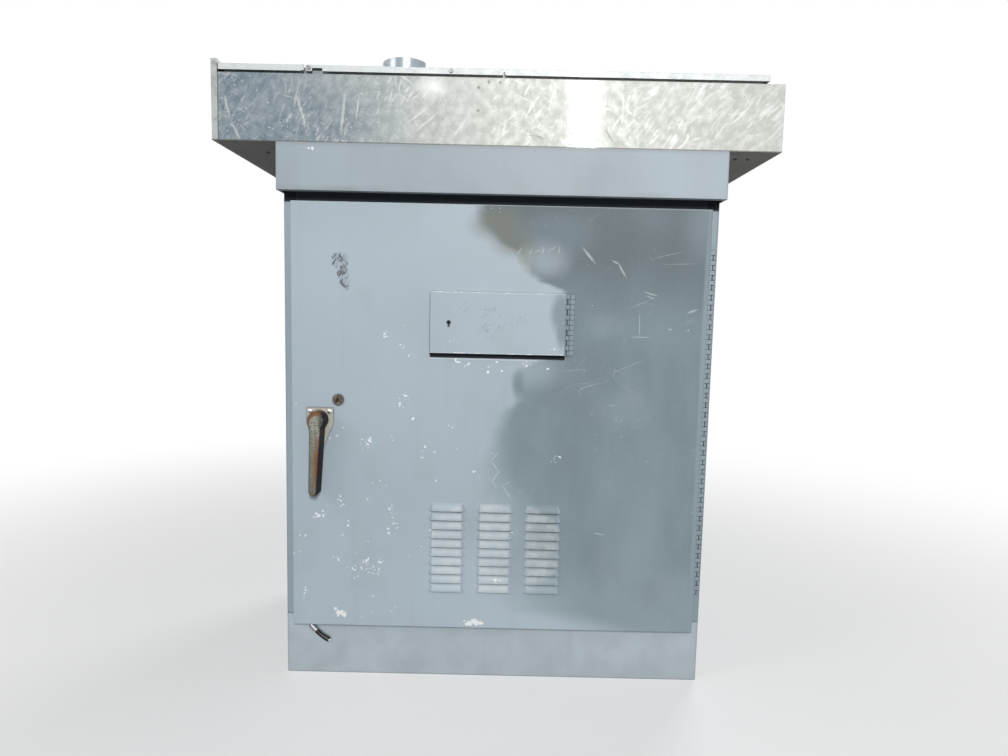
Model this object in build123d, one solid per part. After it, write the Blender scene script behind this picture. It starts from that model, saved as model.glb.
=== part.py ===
from build123d import *
import os
from math import cos, radians, sin, sqrt

# Roadside control cabinet. Millimetres, X to the right, Y to the back, Z up.
# The origin is the centre of the anchor pattern, on the underside of the base.

# Body of folded and welded sheet
body_width = 1118.0
body_depth = 660.4
cabinet_height = 1397.0
sheet = 3.175
corner_radius = 8.0
flange_width = 34.0
sill_height = 165.0
sill_return = 12.0
header_depth = 152.0
frame_reach = 25.0
frame_lap = 20.0
base_flange_side = 86.0
base_flange_end = 75.0

# Anchor slots in the base
anchor_inset_x = 41.475
anchor_inset_y = 95.25
anchor_slot_length = 50.0
anchor_slot_width = 22.0

# Hood over the body, and its eave
hood_height = 115.5
hood_overhang = 48.0
hood_edge_radius = 5.0
eave_lip = 19.0
screen_thickness = 1.5
screen_slot_length = 22.0
screen_slot_width = 8.0
screen_pitch = 30.0
exhaust_count = 10
exhaust_width = 80.0
exhaust_height = 50.0

# Aluminium housing on the roof
box_left_overhang = 143.6
box_right_overhang = 129.6
box_face_height = 162.0
box_sheet = 3.0
box_return = 12.0
lid_gap = 7.0
lid_skirt = 14.5
lid_inset = 1.5
left_lid_length = 203.6
lid_joint = 0.0
lid_joint_gap = 4.0
lid_break_gap = 10.0
right_lid_inset = 38.6
lid_notch_start = 15.0
lid_notch_length = 25.0
tongue_angle = 28.0
end_plate_width = 14.7
end_plate_rise = 32.0
collar_inset = 224.0
collar_setback = 138.2
collar_radius = 60.0
collar_height = 51.0
collar_flange = 13.0

# Door pan
door_side_lap = 8.5
door_top_lap = 14.0
door_bottom_lap = 19.0
door_depth = 17.5
door_edge_radius = 3.0
lip_width = 46.0
gasket_width = 10.0
gasket_inset = 1.0
seat_gap = 0.3
cut_margin = 1.0

# Continuous hinge of the door
barrel_radius = 4.2
hinge_pin_radius = 2.0
hinge_offset = 15.5
hinge_margin = 99.3
knuckle_length = 12.7
knuckle_gap = 1.2
leaf_thickness = 2.0
frame_leaf_width = 17.0
leaf_gasket_gap = 1.0
running_clearance = 0.05

# Louvres pressed out of the door
louvre_columns = 3
louvre_rows = 10
louvre_spacing = 126.0
louvre_pitch = 24.23
louvre_rise = 102.8
louvre_length = 95.0
louvre_height = 21.0
louvre_depth = 9.0
louvre_end_slope = 7.3
louvre_wall = 2.0

# Filter behind the louvres
filter_margin = 9.0
filter_thickness = 22.0
filter_wall = 1.6
filter_clearance = 1.0
pleat_count = 20
pleat_mouth = 0.8

# Small access door and the compartment behind it
access_left = -175.5
access_right = 168.6
access_drop = 206.0
access_height = 157.0
access_proud = 16.0
access_gap = 2.0
access_sheet = 2.0
access_lap = 13.0
access_barrel_radius = 3.2
access_pin_radius = 1.5
access_hinge_offset = 8.4
access_leaf_thickness = 1.5
access_fixed_leaf_width = 15.0
access_knuckles = 12
keyhole_inset = 47.9
keyhole_rise = 79.0
keyhole_radius = 4.6
keyhole_slot = 4.0
keyhole_drop = 9.0
compartment_margin = 15.0
compartment_depth = 85.0
compartment_wall = 1.6
access_case_width = 30.0
access_case_height = 40.0
access_spindle_radius = 7.0
access_cam_reach = 44.0
access_cam_width = 14.0
access_cam_thickness = 2.5
access_cam_gap = 1.0

# Toggle switches in the compartment
toggle_spacing = 90.0
toggle_offset = 30.0
toggle_tilt = 15.0
toggle_ball_radius = 3.8
toggle_stem_radius = 1.8
toggle_tip_radius = 3.0
toggle_length = 22.0
bushing_radius = 6.0
bushing_bore = 4.3
bushing_length = 8.0
switch_body = 16.0
switch_bore_depth = 5.0

# Lever handle on the door
shaft_inset = 66.0
shaft_radius = 8.0
shaft_tenon = 5.0
plate_width = 70.0
plate_top = 29.0
plate_shoulder = 11.0
plate_drop = 68.0
plate_tip = 25.0
plate_thickness = 3.0
hub_radius = 24.0
hub_neck_radius = 17.0
hub_start = 6.0
hub_length = 38.0
hub_edge_radius = 9.0
lever_length = 197.0
lever_wide = 17.0
lever_narrow = 12.5
lever_front_edge = 8.0
lever_back_edge = 2.0
lever_lean = 2.5
bearing_radius = 19.0
bearing_spigot_radius = 12.65

# Three-point latch
cam_radius = 25.0
cam_thickness = 6.0
cam_hub_radius = 16.0
cam_lobe_radius = 9.0
cam_pin_radius = 4.0
drive_pin_angle = 45.0
tenon_clearance = 0.01
cam_tooth_radius = 50.0
cam_tooth_width = 14.0
cam_tooth_angle = 20.0
rod_width = 22.0
rod_gap = 2.0
rod_thickness = 5.0
rod_end = 12.0
roller_radius = 9.5
roller_width = 8.0
roller_pin_radius = 2.0
roller_edge_clearance = 4.0
roller_face_clearance = 0.45
fork_tip = 5.0
fork_depth = 12.0
slot_play = 1.0
yoke_wall = 4.0
layer_gap = 0.3
guide_width = 30.0
guide_height = 20.0
guide_cover = 5.0
guide_narrowing = 1.0
guide_clearance = 0.3
guide_end_distance = 125.0
upper_guide_rise = 165.0
lower_guide_drop = 145.0

# Lock above the handle
lock_offset = 47.0
lock_rise = 50.0
lock_collar_radius = 15.0
lock_collar_proud = 3.0
lock_plug_radius = 11.0
key_slot_width = 2.5
key_slot_height = 12.0
key_slot_depth = 8.0
key_post_radius = 3.0
lock_pin_orbit = 8.5
lock_pin_radius = 2.0
lock_case_half = 26.0
lock_case_below = 25.0
lock_case_above = 23.0
bolt_thickness = 6.0
bolt_reach = 8.0
bolt_step = 9.0
bolt_length = 30.0
bolt_drop = 17.0
bolt_nose_height = 12.0
bolt_height = 16.0
bolt_slot_play = 0.7
strap_width = 8.0
strap_thickness = 2.0
strap_pitch = 14.0

# Stiffeners of the door
stiffener_share = 4 / 7
stiffener_width = 50.0
stiffener_crown = 26.0
stiffener_depth = 14.0
stiffener_wall = 2.0
stiffener_end = 90.0

# Inside of the cabinet
rail_width = 41.0
rail_depth = 21.0
rail_wall = 2.5
rail_slot = 22.0
rail_bottom = 60.0
rail_top_drop = 15.0
rail_rear_y = 200.0
rail_front_y = -240.0
lower_shelf_rise = 275.0
upper_shelf_rise = 75.0
shelf_front = -215.0
shelf_back = 225.0
shelf_thickness = 2.0
shelf_edge = 30.0
ceiling_rise = 23.0
ceiling_edge = 22.0
ceiling_thickness = 2.0
panel_margin = 119.0
panel_bottom = 120.0
panel_top_drop = 45.0
panel_thickness = 3.0
panel_standoff = 22.0
standoff_radius = 8.0
standoff_inset = 30.0
fan_size = 120.0
fan_depth = 38.0
fan_bore = 57.0
fan_hub_radius = 21.0
fan_blades = 7
fan_blade_reach = 55.0
fan_blade_root = 3.0
fan_blade_chord = 30.0
fan_blade_thickness = 2.0
fan_blade_angle = 35.0
fan_clearance = 1.0
fan_arm = 6.0
fan_arm_root = 2.0
fan_spindle_radius = 3.0
power_inset = 190.0
power_drop = 245.0
power_width = 240.0
power_height = 160.0
power_thickness = 4.0
din_height = 35.0
din_depth = 7.5
din_sheet = 1.0
din_flange = 4.0
din_end_gap = 10.0
breaker_width = 36.0
breaker_height = 75.0
breaker_depth = 45.0
breaker_nose_depth = 8.0
breaker_well_depth = 8.0
breaker_well_height = 28.0
breaker_lever_width = 20.0
breaker_lever_reach = 14.0
breaker_lever_thickness = 4.0
breaker_drum_radius = 5.0
breaker_pivot_rise = 1.0
breaker_tilt = 25.0
terminal_count = 12
terminal_pitch = 8.0
terminal_height = 46.0
terminal_depth = 34.0
terminal_gap = 0.5
terminal_screw_inset = 8.0
terminal_hole_depth = 6.0
terminal_hole_radius = 2.0

# Lead stub below the door
lead_inset = 33.0
lead_drop = 27.0
lead_slope = 48.0
ferrule_radius = 7.0
ferrule_length = 23.0
ferrule_edge_radius = 2.0
lead_radius = 6.0
lead_bend_radius = 109.0
lead_bend_angle = 20.0
lead_ring_radius = 6.8
lead_ring_length = 3.0
lead_tip_length = 4.0
lead_tip_radius = 5.0

# Planes and edges that follow from the sizes above
front = -body_depth / 2
back = body_depth / 2
side = body_width / 2
wall_top = cabinet_height - sheet
header_bottom = cabinet_height - header_depth
anchor_spacing_x = body_width - 2 * anchor_inset_x
anchor_spacing_y = body_depth - 2 * anchor_inset_y
opening_half = side - flange_width
frame_half = opening_half - frame_reach
frame_bottom = sill_height + frame_reach
frame_top = header_bottom - frame_reach
frame_front = front + sheet
frame_back = frame_front + sheet

stiffener_x = opening_half * stiffener_share
hinge_x = opening_half + door_side_lap + hinge_offset
hinge_y = front - seat_gap - barrel_radius
door_half = opening_half + door_side_lap
door_bottom = sill_height - door_bottom_lap
door_top = header_bottom + door_top_lap
door_back = hinge_y - barrel_radius
door_front = door_back - door_depth
door_inner = door_front + sheet
hinge_knuckles = 2 * round((door_top - door_bottom - 2 * hinge_margin) / (2 * knuckle_length))
hinge_length = hinge_knuckles * knuckle_length
hinge_bottom = (door_bottom + door_top - hinge_length) / 2
louvre_bottom = door_bottom + louvre_rise

hood_bottom = cabinet_height - hood_height
hood_front = front - hood_overhang
box_bottom = cabinet_height
box_left = -side - box_left_overhang
box_right = side + box_right_overhang
box_face_top = box_bottom + box_face_height
lid_bottom = box_face_top + lid_gap
lid_top = lid_bottom + lid_skirt
left_lid_end = box_left + left_lid_length
middle_lid_start = left_lid_end + lid_break_gap + lid_joint_gap
lid_right = box_right - right_lid_inset
collar_x = middle_lid_start + collar_inset
collar_y = hood_front + collar_setback

access_top = header_bottom - access_drop
access_bottom = access_top - access_height
keyhole_x = access_left + keyhole_inset
keyhole_z = access_bottom + keyhole_rise
access_front = door_front - access_proud
access_back = door_front - access_gap
access_hinge_x = access_right + access_hinge_offset
access_hinge_y = door_front - access_barrel_radius - seat_gap
compartment_left = access_left - compartment_margin
compartment_right = access_right + compartment_margin
compartment_bottom = access_bottom - compartment_margin
compartment_top = access_top + compartment_margin
compartment_back = door_inner + compartment_depth
switch_z = (access_bottom + access_top) / 2
switch_y = compartment_back - compartment_wall

shaft_x = -opening_half + shaft_inset
shaft_z = (sill_height + header_bottom) / 2
rod_y = frame_back + roller_face_clearance + roller_radius
rod_front = rod_y - rod_thickness / 2
rod_back = rod_y + rod_thickness / 2
cam_back = rod_front - layer_gap
cam_front = cam_back - cam_thickness
pin_swing = cam_radius * sin(radians(drive_pin_angle))
rod_offset = (rod_width + rod_gap) / 2
upper_roller_z = frame_top - roller_edge_clearance - roller_radius
lower_roller_z = frame_bottom + roller_edge_clearance + roller_radius
upper_guides = (shaft_z + upper_guide_rise, header_bottom - guide_end_distance)
lower_guides = (sill_height + guide_end_distance, shaft_z - lower_guide_drop)

lock_x = shaft_x + lock_offset
lock_z = shaft_z + lock_rise
bolt_tip = lock_x - bolt_reach
bolt_shoulder = bolt_tip + bolt_step
bolt_end = bolt_tip + bolt_length
bolt_bottom = lock_z - bolt_drop
bolt_nose_top = bolt_bottom + bolt_nose_height
bolt_top = bolt_bottom + bolt_height
bolt_front = cam_front - layer_gap
lock_case_back = bolt_front - layer_gap
lock_pin_swing = lock_pin_orbit * sin(radians(drive_pin_angle))
bolt_travel = 2 * lock_pin_swing

rail_top = header_bottom - rail_top_drop
lower_shelf_level = sill_height + lower_shelf_rise
upper_shelf_level = shaft_z + upper_shelf_rise
ceiling_level = header_bottom + ceiling_rise
panel_half_width = side - panel_margin
panel_top = header_bottom - panel_top_drop
panel_back = back - sheet - panel_standoff
panel_front = panel_back - panel_thickness
fan_bottom = ceiling_level - fan_depth
filter_half = louvre_spacing + louvre_length / 2 + filter_margin
filter_bottom = louvre_bottom - filter_margin
filter_top = louvre_bottom + (louvre_rows - 1) * louvre_pitch + louvre_height + filter_margin
power_x = panel_half_width - power_inset
power_z = header_bottom - power_drop
power_front = panel_front - power_thickness
din_front = power_front - din_depth
breaker_x = power_x - power_width / 4
breaker_front = din_front - breaker_depth
terminal_x = power_x + power_width / 12
lead_x = -opening_half + lead_inset
lead_z = sill_height - lead_drop


def block(x_low, x_high, y_low, y_high, z_low, z_high):
    """Return a box between its low and high faces."""
    centre = Pos((x_low + x_high) / 2, (y_low + y_high) / 2, (z_low + z_high) / 2)
    return centre * Box(x_high - x_low, y_high - y_low, z_high - z_low)


def cylinder_x(x_low, x_high, y, z, radius):
    """Return a cylinder along X."""
    return Pos((x_low + x_high) / 2, y, z) * Rot(0, 90, 0) * Cylinder(radius, x_high - x_low)


def cylinder_y(y_low, y_high, x, z, radius):
    """Return a cylinder along Y."""
    return Pos(x, (y_low + y_high) / 2, z) * Rot(90, 0, 0) * Cylinder(radius, y_high - y_low)


def cylinder_z(z_low, z_high, x, y, radius):
    """Return a cylinder along Z."""
    return Pos(x, y, (z_low + z_high) / 2) * Cylinder(radius, z_high - z_low)


def facing_front(x, y, z):
    """Return a plane that faces the front, with its own X along X and its own Y along Z."""
    return Plane(origin=(x, y, z), x_dir=(1, 0, 0), z_dir=(0, -1, 0))


def inner_outline():
    """Return the outline of the room inside the walls, rounded at its corners."""
    return RectangleRounded(body_width - 2 * sheet, body_depth - 2 * sheet, corner_radius - sheet)


def body_wall():
    """Return the four walls of the body as one folded ring, before it is parted into panels."""
    return extrude(RectangleRounded(body_width, body_depth, corner_radius) - inner_outline(), wall_top)


def sill_zone():
    """Return the region of the wall that the sill panel takes."""
    return block(-side, side, front, front + sill_return, 0, sill_height)


def side_panel(direction):
    """Return one side wall with its front and rear flanges folded in."""
    edges = sorted((direction * opening_half, direction * side))
    return (body_wall() & block(*edges, front, back, 0, wall_top)) - sill_zone()


def back_panel():
    """Return the flat wall between the rear flanges."""
    return body_wall() & block(-opening_half, opening_half, 0, back, 0, wall_top)


def sill_panel():
    """Return the lower front panel, whose ends turn round the front corners."""
    return body_wall() & sill_zone()


def door_header():
    """Return the panel over the door, with the exhaust windows that the hood hides."""
    panel = body_wall() & block(-opening_half, opening_half, front, 0, header_bottom, wall_top)
    pitch = 2 * opening_half / exhaust_count
    level = (hood_bottom + wall_top) / 2
    window = Pos(0, front, level) * Box(exhaust_width, 4 * sheet, exhaust_height)
    starts = [-opening_half + pitch * (number + 0.5) for number in range(exhaust_count)]
    return panel - [Pos(start, 0, 0) * window for start in starts]


def door_frame():
    """Return the flat frame welded behind the door opening, which the gasket and latch meet."""
    outer = block(
        -opening_half - frame_lap, opening_half + frame_lap, frame_front, frame_back,
        sill_height - frame_lap, header_bottom + frame_lap,
    )
    return outer - block(-frame_half, frame_half, front, 0, frame_bottom, frame_top)


def base_flange():
    """Return the base sheet, open for the cables, with an anchor slot near each corner."""
    plate = extrude(inner_outline(), sheet)
    opening_x = side - sheet - base_flange_side
    opening_y = back - sheet - base_flange_end
    plate -= block(-opening_x, opening_x, -opening_y, opening_y, -sheet, 2 * sheet)
    slot = extrude(SlotOverall(anchor_slot_length, anchor_slot_width), 2 * sheet, both=True)
    return plate - [place * slot for place in GridLocations(anchor_spacing_x, anchor_spacing_y, 2, 2)]


def hood():
    """Return the welded hood: top, four skirts, a deep front overhang and its turned-in lip."""
    half = side + sheet
    outer = block(-half, half, hood_front, back + sheet, hood_bottom, cabinet_height)
    outer = fillet(outer.edges().filter_by(Axis.Z), hood_edge_radius)
    inner = block(-side, side, hood_front + sheet, back, hood_bottom - sheet, wall_top)
    lip_front = hood_front + sheet
    lip = block(-side, side, lip_front, lip_front + eave_lip, hood_bottom, hood_bottom + sheet)
    return outer - inner + lip


def eave_screen():
    """Return the slotted sheet that closes the underside of the overhang."""
    level = hood_bottom + sheet
    plate = block(-side, side, hood_front + sheet, front, level, level + screen_thickness)
    middle = (hood_front + sheet + eave_lip + front) / 2
    slot = Pos(0, middle, level) * Box(screen_slot_length, screen_slot_width, 4 * screen_thickness)
    count = int((body_width - screen_pitch) // screen_pitch)
    return plate - [Pos(place.position.X, 0, 0) * slot for place in GridLocations(screen_pitch, 1, count, 1)]


def roof_box_shell():
    """Return the aluminium housing: a tray with a turned-in rim and an upstand for the lids."""
    top = box_face_top
    shell = block(box_left, box_right, hood_front, back, box_bottom, top)
    shell -= block(
        box_left + box_sheet, box_right - box_sheet, hood_front + box_sheet, back - box_sheet,
        box_bottom + box_sheet, top - box_sheet,
    )
    upstand_front = hood_front + box_return
    upstand_back = back - box_return
    upstand_left = box_left + box_return
    upstand_right = lid_right - box_return
    shell += block(upstand_left, upstand_right, upstand_front, upstand_back, top, lid_top - box_sheet)
    return shell - block(
        upstand_left + box_sheet, upstand_right - box_sheet, upstand_front + box_sheet,
        upstand_back - box_sheet, top - 2 * box_sheet, lid_top,
    )


def roof_box_end_plate():
    """Return the end cap: a plate with a flange turned out round it, standing above the lids."""
    left = box_left - end_plate_width
    cap = block(left, box_left, hood_front, back, box_bottom, box_face_top + end_plate_rise)
    return cap - block(
        left - box_sheet, box_left - box_sheet, hood_front + box_sheet, back - box_sheet,
        box_bottom + box_sheet, box_face_top + end_plate_rise - box_sheet,
    )


def lid(left, right, open_left, open_right):
    """Return one length of lid, with skirts on the long edges and on its closed ends."""
    low = hood_front + lid_inset
    high = back - lid_inset
    cover = block(left, right, low, high, lid_bottom, lid_top)
    inner_left = left - box_sheet if open_left else left + box_sheet
    inner_right = right + box_sheet if open_right else right - box_sheet
    return cover - block(
        inner_left, inner_right, low + box_sheet, high - box_sheet,
        lid_bottom - cut_margin, lid_top - box_sheet,
    )


def left_lid():
    """Return the left lid, whose broken end leaves a bent tongue on the front skirt."""
    cover = lid(box_left, left_lid_end, True, True)
    tongue = Pos(left_lid_end, hood_front + lid_inset + box_sheet / 2, (lid_bottom + lid_top) / 2)
    bend = Rot(0, 0, -tongue_angle) * Pos(lid_break_gap / 2, 0, 0)
    return cover + tongue * bend * Box(lid_break_gap + box_sheet, box_sheet, lid_skirt)


def middle_lid():
    """Return the middle lid, with the torn notch in its skirt and the hole under the collar."""
    cover = lid(middle_lid_start, lid_joint - lid_joint_gap / 2, True, True)
    cover -= cylinder_z(lid_bottom, lid_top + cut_margin, collar_x, collar_y, collar_radius - box_sheet)
    notch_left = middle_lid_start + lid_notch_start
    notch = block(
        notch_left, notch_left + lid_notch_length, hood_front, hood_front + 2 * box_sheet,
        lid_bottom - cut_margin, lid_bottom + lid_skirt / 2,
    )
    return cover - notch


def right_lid():
    """Return the right lid, closed at its outer end."""
    return lid(lid_joint + lid_joint_gap / 2, lid_right, True, False)


def vent_collar():
    """Return the round duct collar with its foot flange, open at both ends."""
    collar_top = lid_top + collar_height
    tube = cylinder_z(lid_top, collar_top, collar_x, collar_y, collar_radius)
    tube += cylinder_z(lid_top, lid_top + box_sheet, collar_x, collar_y, collar_radius + collar_flange)
    bore = collar_radius - box_sheet
    return tube - cylinder_z(lid_top - cut_margin, collar_top + cut_margin, collar_x, collar_y, bore)


def hinge_leaf(moving, plate_edge, plate_y, axis, sizes):
    """Return a leaf of a continuous hinge: a strip with every second knuckle.

    plate_edge is the far X edge of the strip and plate_y its low Y face. axis holds the X and Y
    of the pin. sizes holds the barrel radius, pin radius, thickness, low end, number of
    knuckles and the length of one knuckle.
    """
    barrel, pin, thickness, low, count, length = sizes
    high = low + count * length
    direction = 1 if plate_edge > axis[0] else -1
    near = axis[0] + direction * (barrel + knuckle_gap)
    strip = block(*sorted((near, plate_edge)), plate_y, plate_y + thickness, low, high)
    knuckles = []
    for number in range(1 if moving else 0, count, 2):
        start = low + number * length + knuckle_gap / 2
        end = start + length - knuckle_gap
        neck = block(*sorted((near, axis[0])), plate_y, plate_y + thickness, start, end)
        knuckles.append(neck + cylinder_z(start, end, *axis, barrel))
    bore = pin + running_clearance
    return strip + knuckles - cylinder_z(low - cut_margin, high + cut_margin, *axis, bore)


def door_hinge_sizes():
    """Return the sizes that both leaves of the door's hinge share."""
    return (
        barrel_radius, hinge_pin_radius, leaf_thickness, hinge_bottom, hinge_knuckles, knuckle_length
    )


def hinge_frame_leaf():
    """Return the leaf on the body's front flange."""
    edge = hinge_x - barrel_radius - knuckle_gap - frame_leaf_width
    return hinge_leaf(False, edge, front - leaf_thickness, (hinge_x, hinge_y), door_hinge_sizes())


def hinge_door_leaf():
    """Return the leaf on the back of the door's lip, just outside the gasket."""
    edge = frame_half + gasket_inset + gasket_width + leaf_gasket_gap
    return hinge_leaf(True, edge, door_back, (hinge_x, hinge_y), door_hinge_sizes())


def hinge_pin():
    """Return the long pin of the door's hinge."""
    return cylinder_z(hinge_bottom, hinge_bottom + hinge_length, hinge_x, hinge_y, hinge_pin_radius)


def louvre_outline(radius, half_length):
    """Return a rounded wedge, its back on the sheet and its lower edge at zero.

    Its ends slope in from the sheet to the lip, and from the lower edge to the top.
    """
    centre_depth = louvre_depth - louvre_radius()
    bulge = cylinder_x(-half_length, half_length, -centre_depth, 0, radius)
    levels = []
    for level, half in ((0, half_length), (louvre_height, half_length - louvre_end_slope)):
        lip = half - louvre_end_slope
        outline = Polyline((-half, 0), (-lip, -louvre_depth), (lip, -louvre_depth), (half, 0), close=True)
        levels.append(Pos(0, 0, level) * make_face(outline))
    return bulge & loft(levels, ruled=True)


def louvre_radius():
    """Return the radius that leaves the sheet at the top and stands square at the lower edge."""
    return (louvre_depth ** 2 + louvre_height ** 2) / (2 * louvre_depth)


def louvre():
    """Return one louvre as a hollow hood open at its lower edge."""
    outer = louvre_outline(louvre_radius(), louvre_length / 2)
    inner = louvre_outline(louvre_radius() - louvre_wall, louvre_length / 2 - louvre_wall)
    return outer - inner


def louvre_slot():
    """Return the slot behind one louvre, through the sheet."""
    centre_depth = louvre_radius() - louvre_depth
    height = sqrt((louvre_radius() - louvre_wall) ** 2 - centre_depth ** 2)
    half = louvre_length / 2 - louvre_wall
    top = half - louvre_end_slope * height / louvre_height
    opening = make_face(Polyline((-half, 0), (half, 0), (top, height), (-top, height), close=True))
    return extrude(facing_front(0, 2 * sheet, 0) * opening, 2.5 * sheet)


def louvre_places():
    """Return where the lower edge of each louvre lies on the door's face."""
    column_start = -(louvre_columns - 1) / 2 * louvre_spacing
    return [
        Pos(column_start + column * louvre_spacing, door_front, louvre_bottom + row * louvre_pitch)
        for column in range(louvre_columns)
        for row in range(louvre_rows)
    ]


def main_door():
    """Return the door: a folded pan with pressed louvres and the holes for its fittings."""
    pan = block(-door_half, door_half, door_front, door_back, door_bottom, door_top)
    pan = fillet(pan.faces().sort_by(Axis.Y)[0].edges(), door_edge_radius)
    pan -= block(
        -door_half + sheet, door_half - sheet, door_inner, door_back - sheet,
        door_bottom + sheet, door_top - sheet,
    )
    pan -= block(
        -door_half + lip_width, door_half - lip_width, door_inner, door_back + cut_margin,
        door_bottom + lip_width, door_top - lip_width,
    )
    pan -= block(
        access_left + access_lap, access_right - access_lap, door_front - cut_margin,
        door_inner + cut_margin, access_bottom + access_lap, access_top - access_lap,
    )
    through = (door_front - cut_margin, door_inner + cut_margin)
    pan -= cylinder_y(*through, shaft_x, shaft_z, bearing_spigot_radius)
    pan -= cylinder_y(*through, lock_x, lock_z, lock_collar_radius + running_clearance)
    hoods = [place * louvre() for place in louvre_places()]
    slots = [place * louvre_slot() for place in louvre_places()]
    return pan + hoods - slots


def door_gasket():
    """Return the gasket on the lip, which meets the door frame."""
    inner = gasket_inset
    outer = gasket_inset + gasket_width
    ring = block(
        -frame_half - outer, frame_half + outer, door_back, frame_front - seat_gap,
        frame_bottom - outer, frame_top + outer,
    )
    return ring - block(
        -frame_half - inner, frame_half + inner, door_back - cut_margin, 0,
        frame_bottom - inner, frame_top + inner,
    )


def stiffener(x):
    """Return one upright top-hat stiffener on the inside of the door."""
    half = stiffener_width / 2
    crown = stiffener_crown / 2
    low = door_inner
    high = door_inner + stiffener_depth
    outer = Polyline(
        (-half, low), (half, low), (half, low + stiffener_wall),
        (crown + stiffener_wall, low + stiffener_wall), (crown, high), (-crown, high),
        (-crown - stiffener_wall, low + stiffener_wall), (-half, low + stiffener_wall), close=True,
    )
    inner = Polyline(
        (-crown, low - cut_margin), (crown, low - cut_margin),
        (crown - stiffener_wall, high - stiffener_wall),
        (-crown + stiffener_wall, high - stiffener_wall), close=True,
    )
    bottom = door_bottom + stiffener_end
    height = door_top - stiffener_end - bottom
    return Pos(x, 0, bottom) * extrude(make_face(outer) - make_face(inner), height)


def door_stiffeners():
    """Return the pair of stiffeners."""
    return Compound(children=[stiffener(-stiffener_x), stiffener(stiffener_x)])


def filter_frame():
    """Return the tray that holds the filter behind the louvres, open at the top."""
    back_face = door_inner + filter_clearance + filter_thickness + filter_clearance + filter_wall
    frame = block(-filter_half, filter_half, door_inner, back_face, filter_bottom, filter_top)
    frame -= block(
        -filter_half + filter_wall, filter_half - filter_wall, door_inner - cut_margin,
        back_face - filter_wall, filter_bottom + filter_wall, filter_top + cut_margin,
    )
    margin = filter_wall + filter_margin
    return frame - block(
        -filter_half + margin, filter_half - margin, door_inner, back_face + cut_margin,
        filter_bottom + margin, filter_top + cut_margin,
    )


def air_filter():
    """Return the pleated filter, as a slab with its pleats along Z."""
    half = filter_half - filter_wall - filter_clearance
    low = door_inner + filter_clearance
    slab = block(
        -half, half, low, low + filter_thickness, filter_bottom + filter_wall, filter_top - filter_clearance
    )
    pitch = 2 * (half - filter_margin) / pleat_count
    mouth = pitch * pleat_mouth / 2
    valley = Polyline((-mouth, -cut_margin), (mouth, -cut_margin), (0, filter_thickness / 2), close=True)
    groove = extrude(make_face(valley), filter_top - filter_bottom - 2 * filter_margin)
    groove = Pos(0, low, filter_bottom + filter_margin) * groove
    starts = [-half + filter_margin + pitch * (number + 0.5) for number in range(pleat_count)]
    return slab - [Pos(start, 0, 0) * groove for start in starts]


def handle_plate():
    """Return the plate under the handle, narrowed towards its lower end."""
    half = plate_width / 2
    tip = plate_tip / 2
    outline = Polyline(
        (-half, plate_top), (half, plate_top), (half, -plate_shoulder), (tip, -plate_drop),
        (-tip, -plate_drop), (-half, -plate_shoulder), close=True,
    )
    face = make_face(outline) - Circle(shaft_radius + running_clearance)
    return extrude(facing_front(shaft_x, door_front, shaft_z) * face, plate_thickness)


def door_handle():
    """Return the lever handle: a round hub with a deep tapering lever that hangs from it."""
    start = door_front - plate_thickness
    hub = cylinder_y(start - hub_start - hub_length, start - hub_start, shaft_x, shaft_z, hub_radius)
    hub = fillet(hub.edges().sort_by(Axis.Y)[0], hub_edge_radius)
    neck = cylinder_y(start - hub_start, start - seat_gap, shaft_x, shaft_z, hub_neck_radius)
    tip = Pos(0, -lever_length + lever_narrow) * Circle(lever_narrow)
    outline = Rot(0, 0, -lever_lean) * make_hull(Circle(lever_wide).edges() + tip.edges())
    lever = extrude(facing_front(shaft_x, start - hub_start, shaft_z) * outline, hub_length)
    lever = fillet(lever.faces().sort_by(Axis.Y)[0].edges(), lever_front_edge)
    lever = fillet(lever.faces().sort_by(Axis.Y)[-1].edges(), lever_back_edge)
    return hub + neck + lever


def handle_shaft():
    """Return the shaft from the handle, through the door, to the latch cam."""
    start = door_front - plate_thickness - seat_gap
    shaft = cylinder_y(start, cam_front, shaft_x, shaft_z, shaft_radius)
    return shaft + cylinder_y(cam_front, cam_back, shaft_x, shaft_z, shaft_tenon)


def shaft_bearing():
    """Return the flanged bush that carries the shaft behind the door's sheet."""
    end = cam_front - 2 * layer_gap
    bush = cylinder_y(door_inner, end, shaft_x, shaft_z, bearing_radius)
    bush += cylinder_y(door_front, door_inner, shaft_x, shaft_z, bearing_spigot_radius)
    bore = shaft_radius + running_clearance
    return bush - cylinder_y(door_front - cut_margin, end + cut_margin, shaft_x, shaft_z, bore)


def latch_cam():
    """Return the cam: a hub, two lobes with drive pins, and the tooth that the lock bolt stops."""
    hub = Circle(cam_hub_radius)
    lobes = Rot(0, 0, -drive_pin_angle) * SlotCenterToCenter(2 * cam_radius, 2 * cam_lobe_radius)
    tooth = Pos(cam_tooth_radius / 2, 0) * Rectangle(cam_tooth_radius, cam_tooth_width)
    tooth = Rot(0, 0, cam_tooth_angle) * (tooth & Circle(cam_tooth_radius))
    face = hub + lobes + tooth - Circle(shaft_tenon + tenon_clearance)
    cam = extrude(facing_front(shaft_x, cam_back, shaft_z) * face, cam_thickness)
    for direction in (1, -1):
        x = shaft_x + direction * pin_swing
        z = shaft_z - direction * pin_swing
        cam += cylinder_y(cam_back, rod_back, x, z, cam_pin_radius)
    return cam


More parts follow.
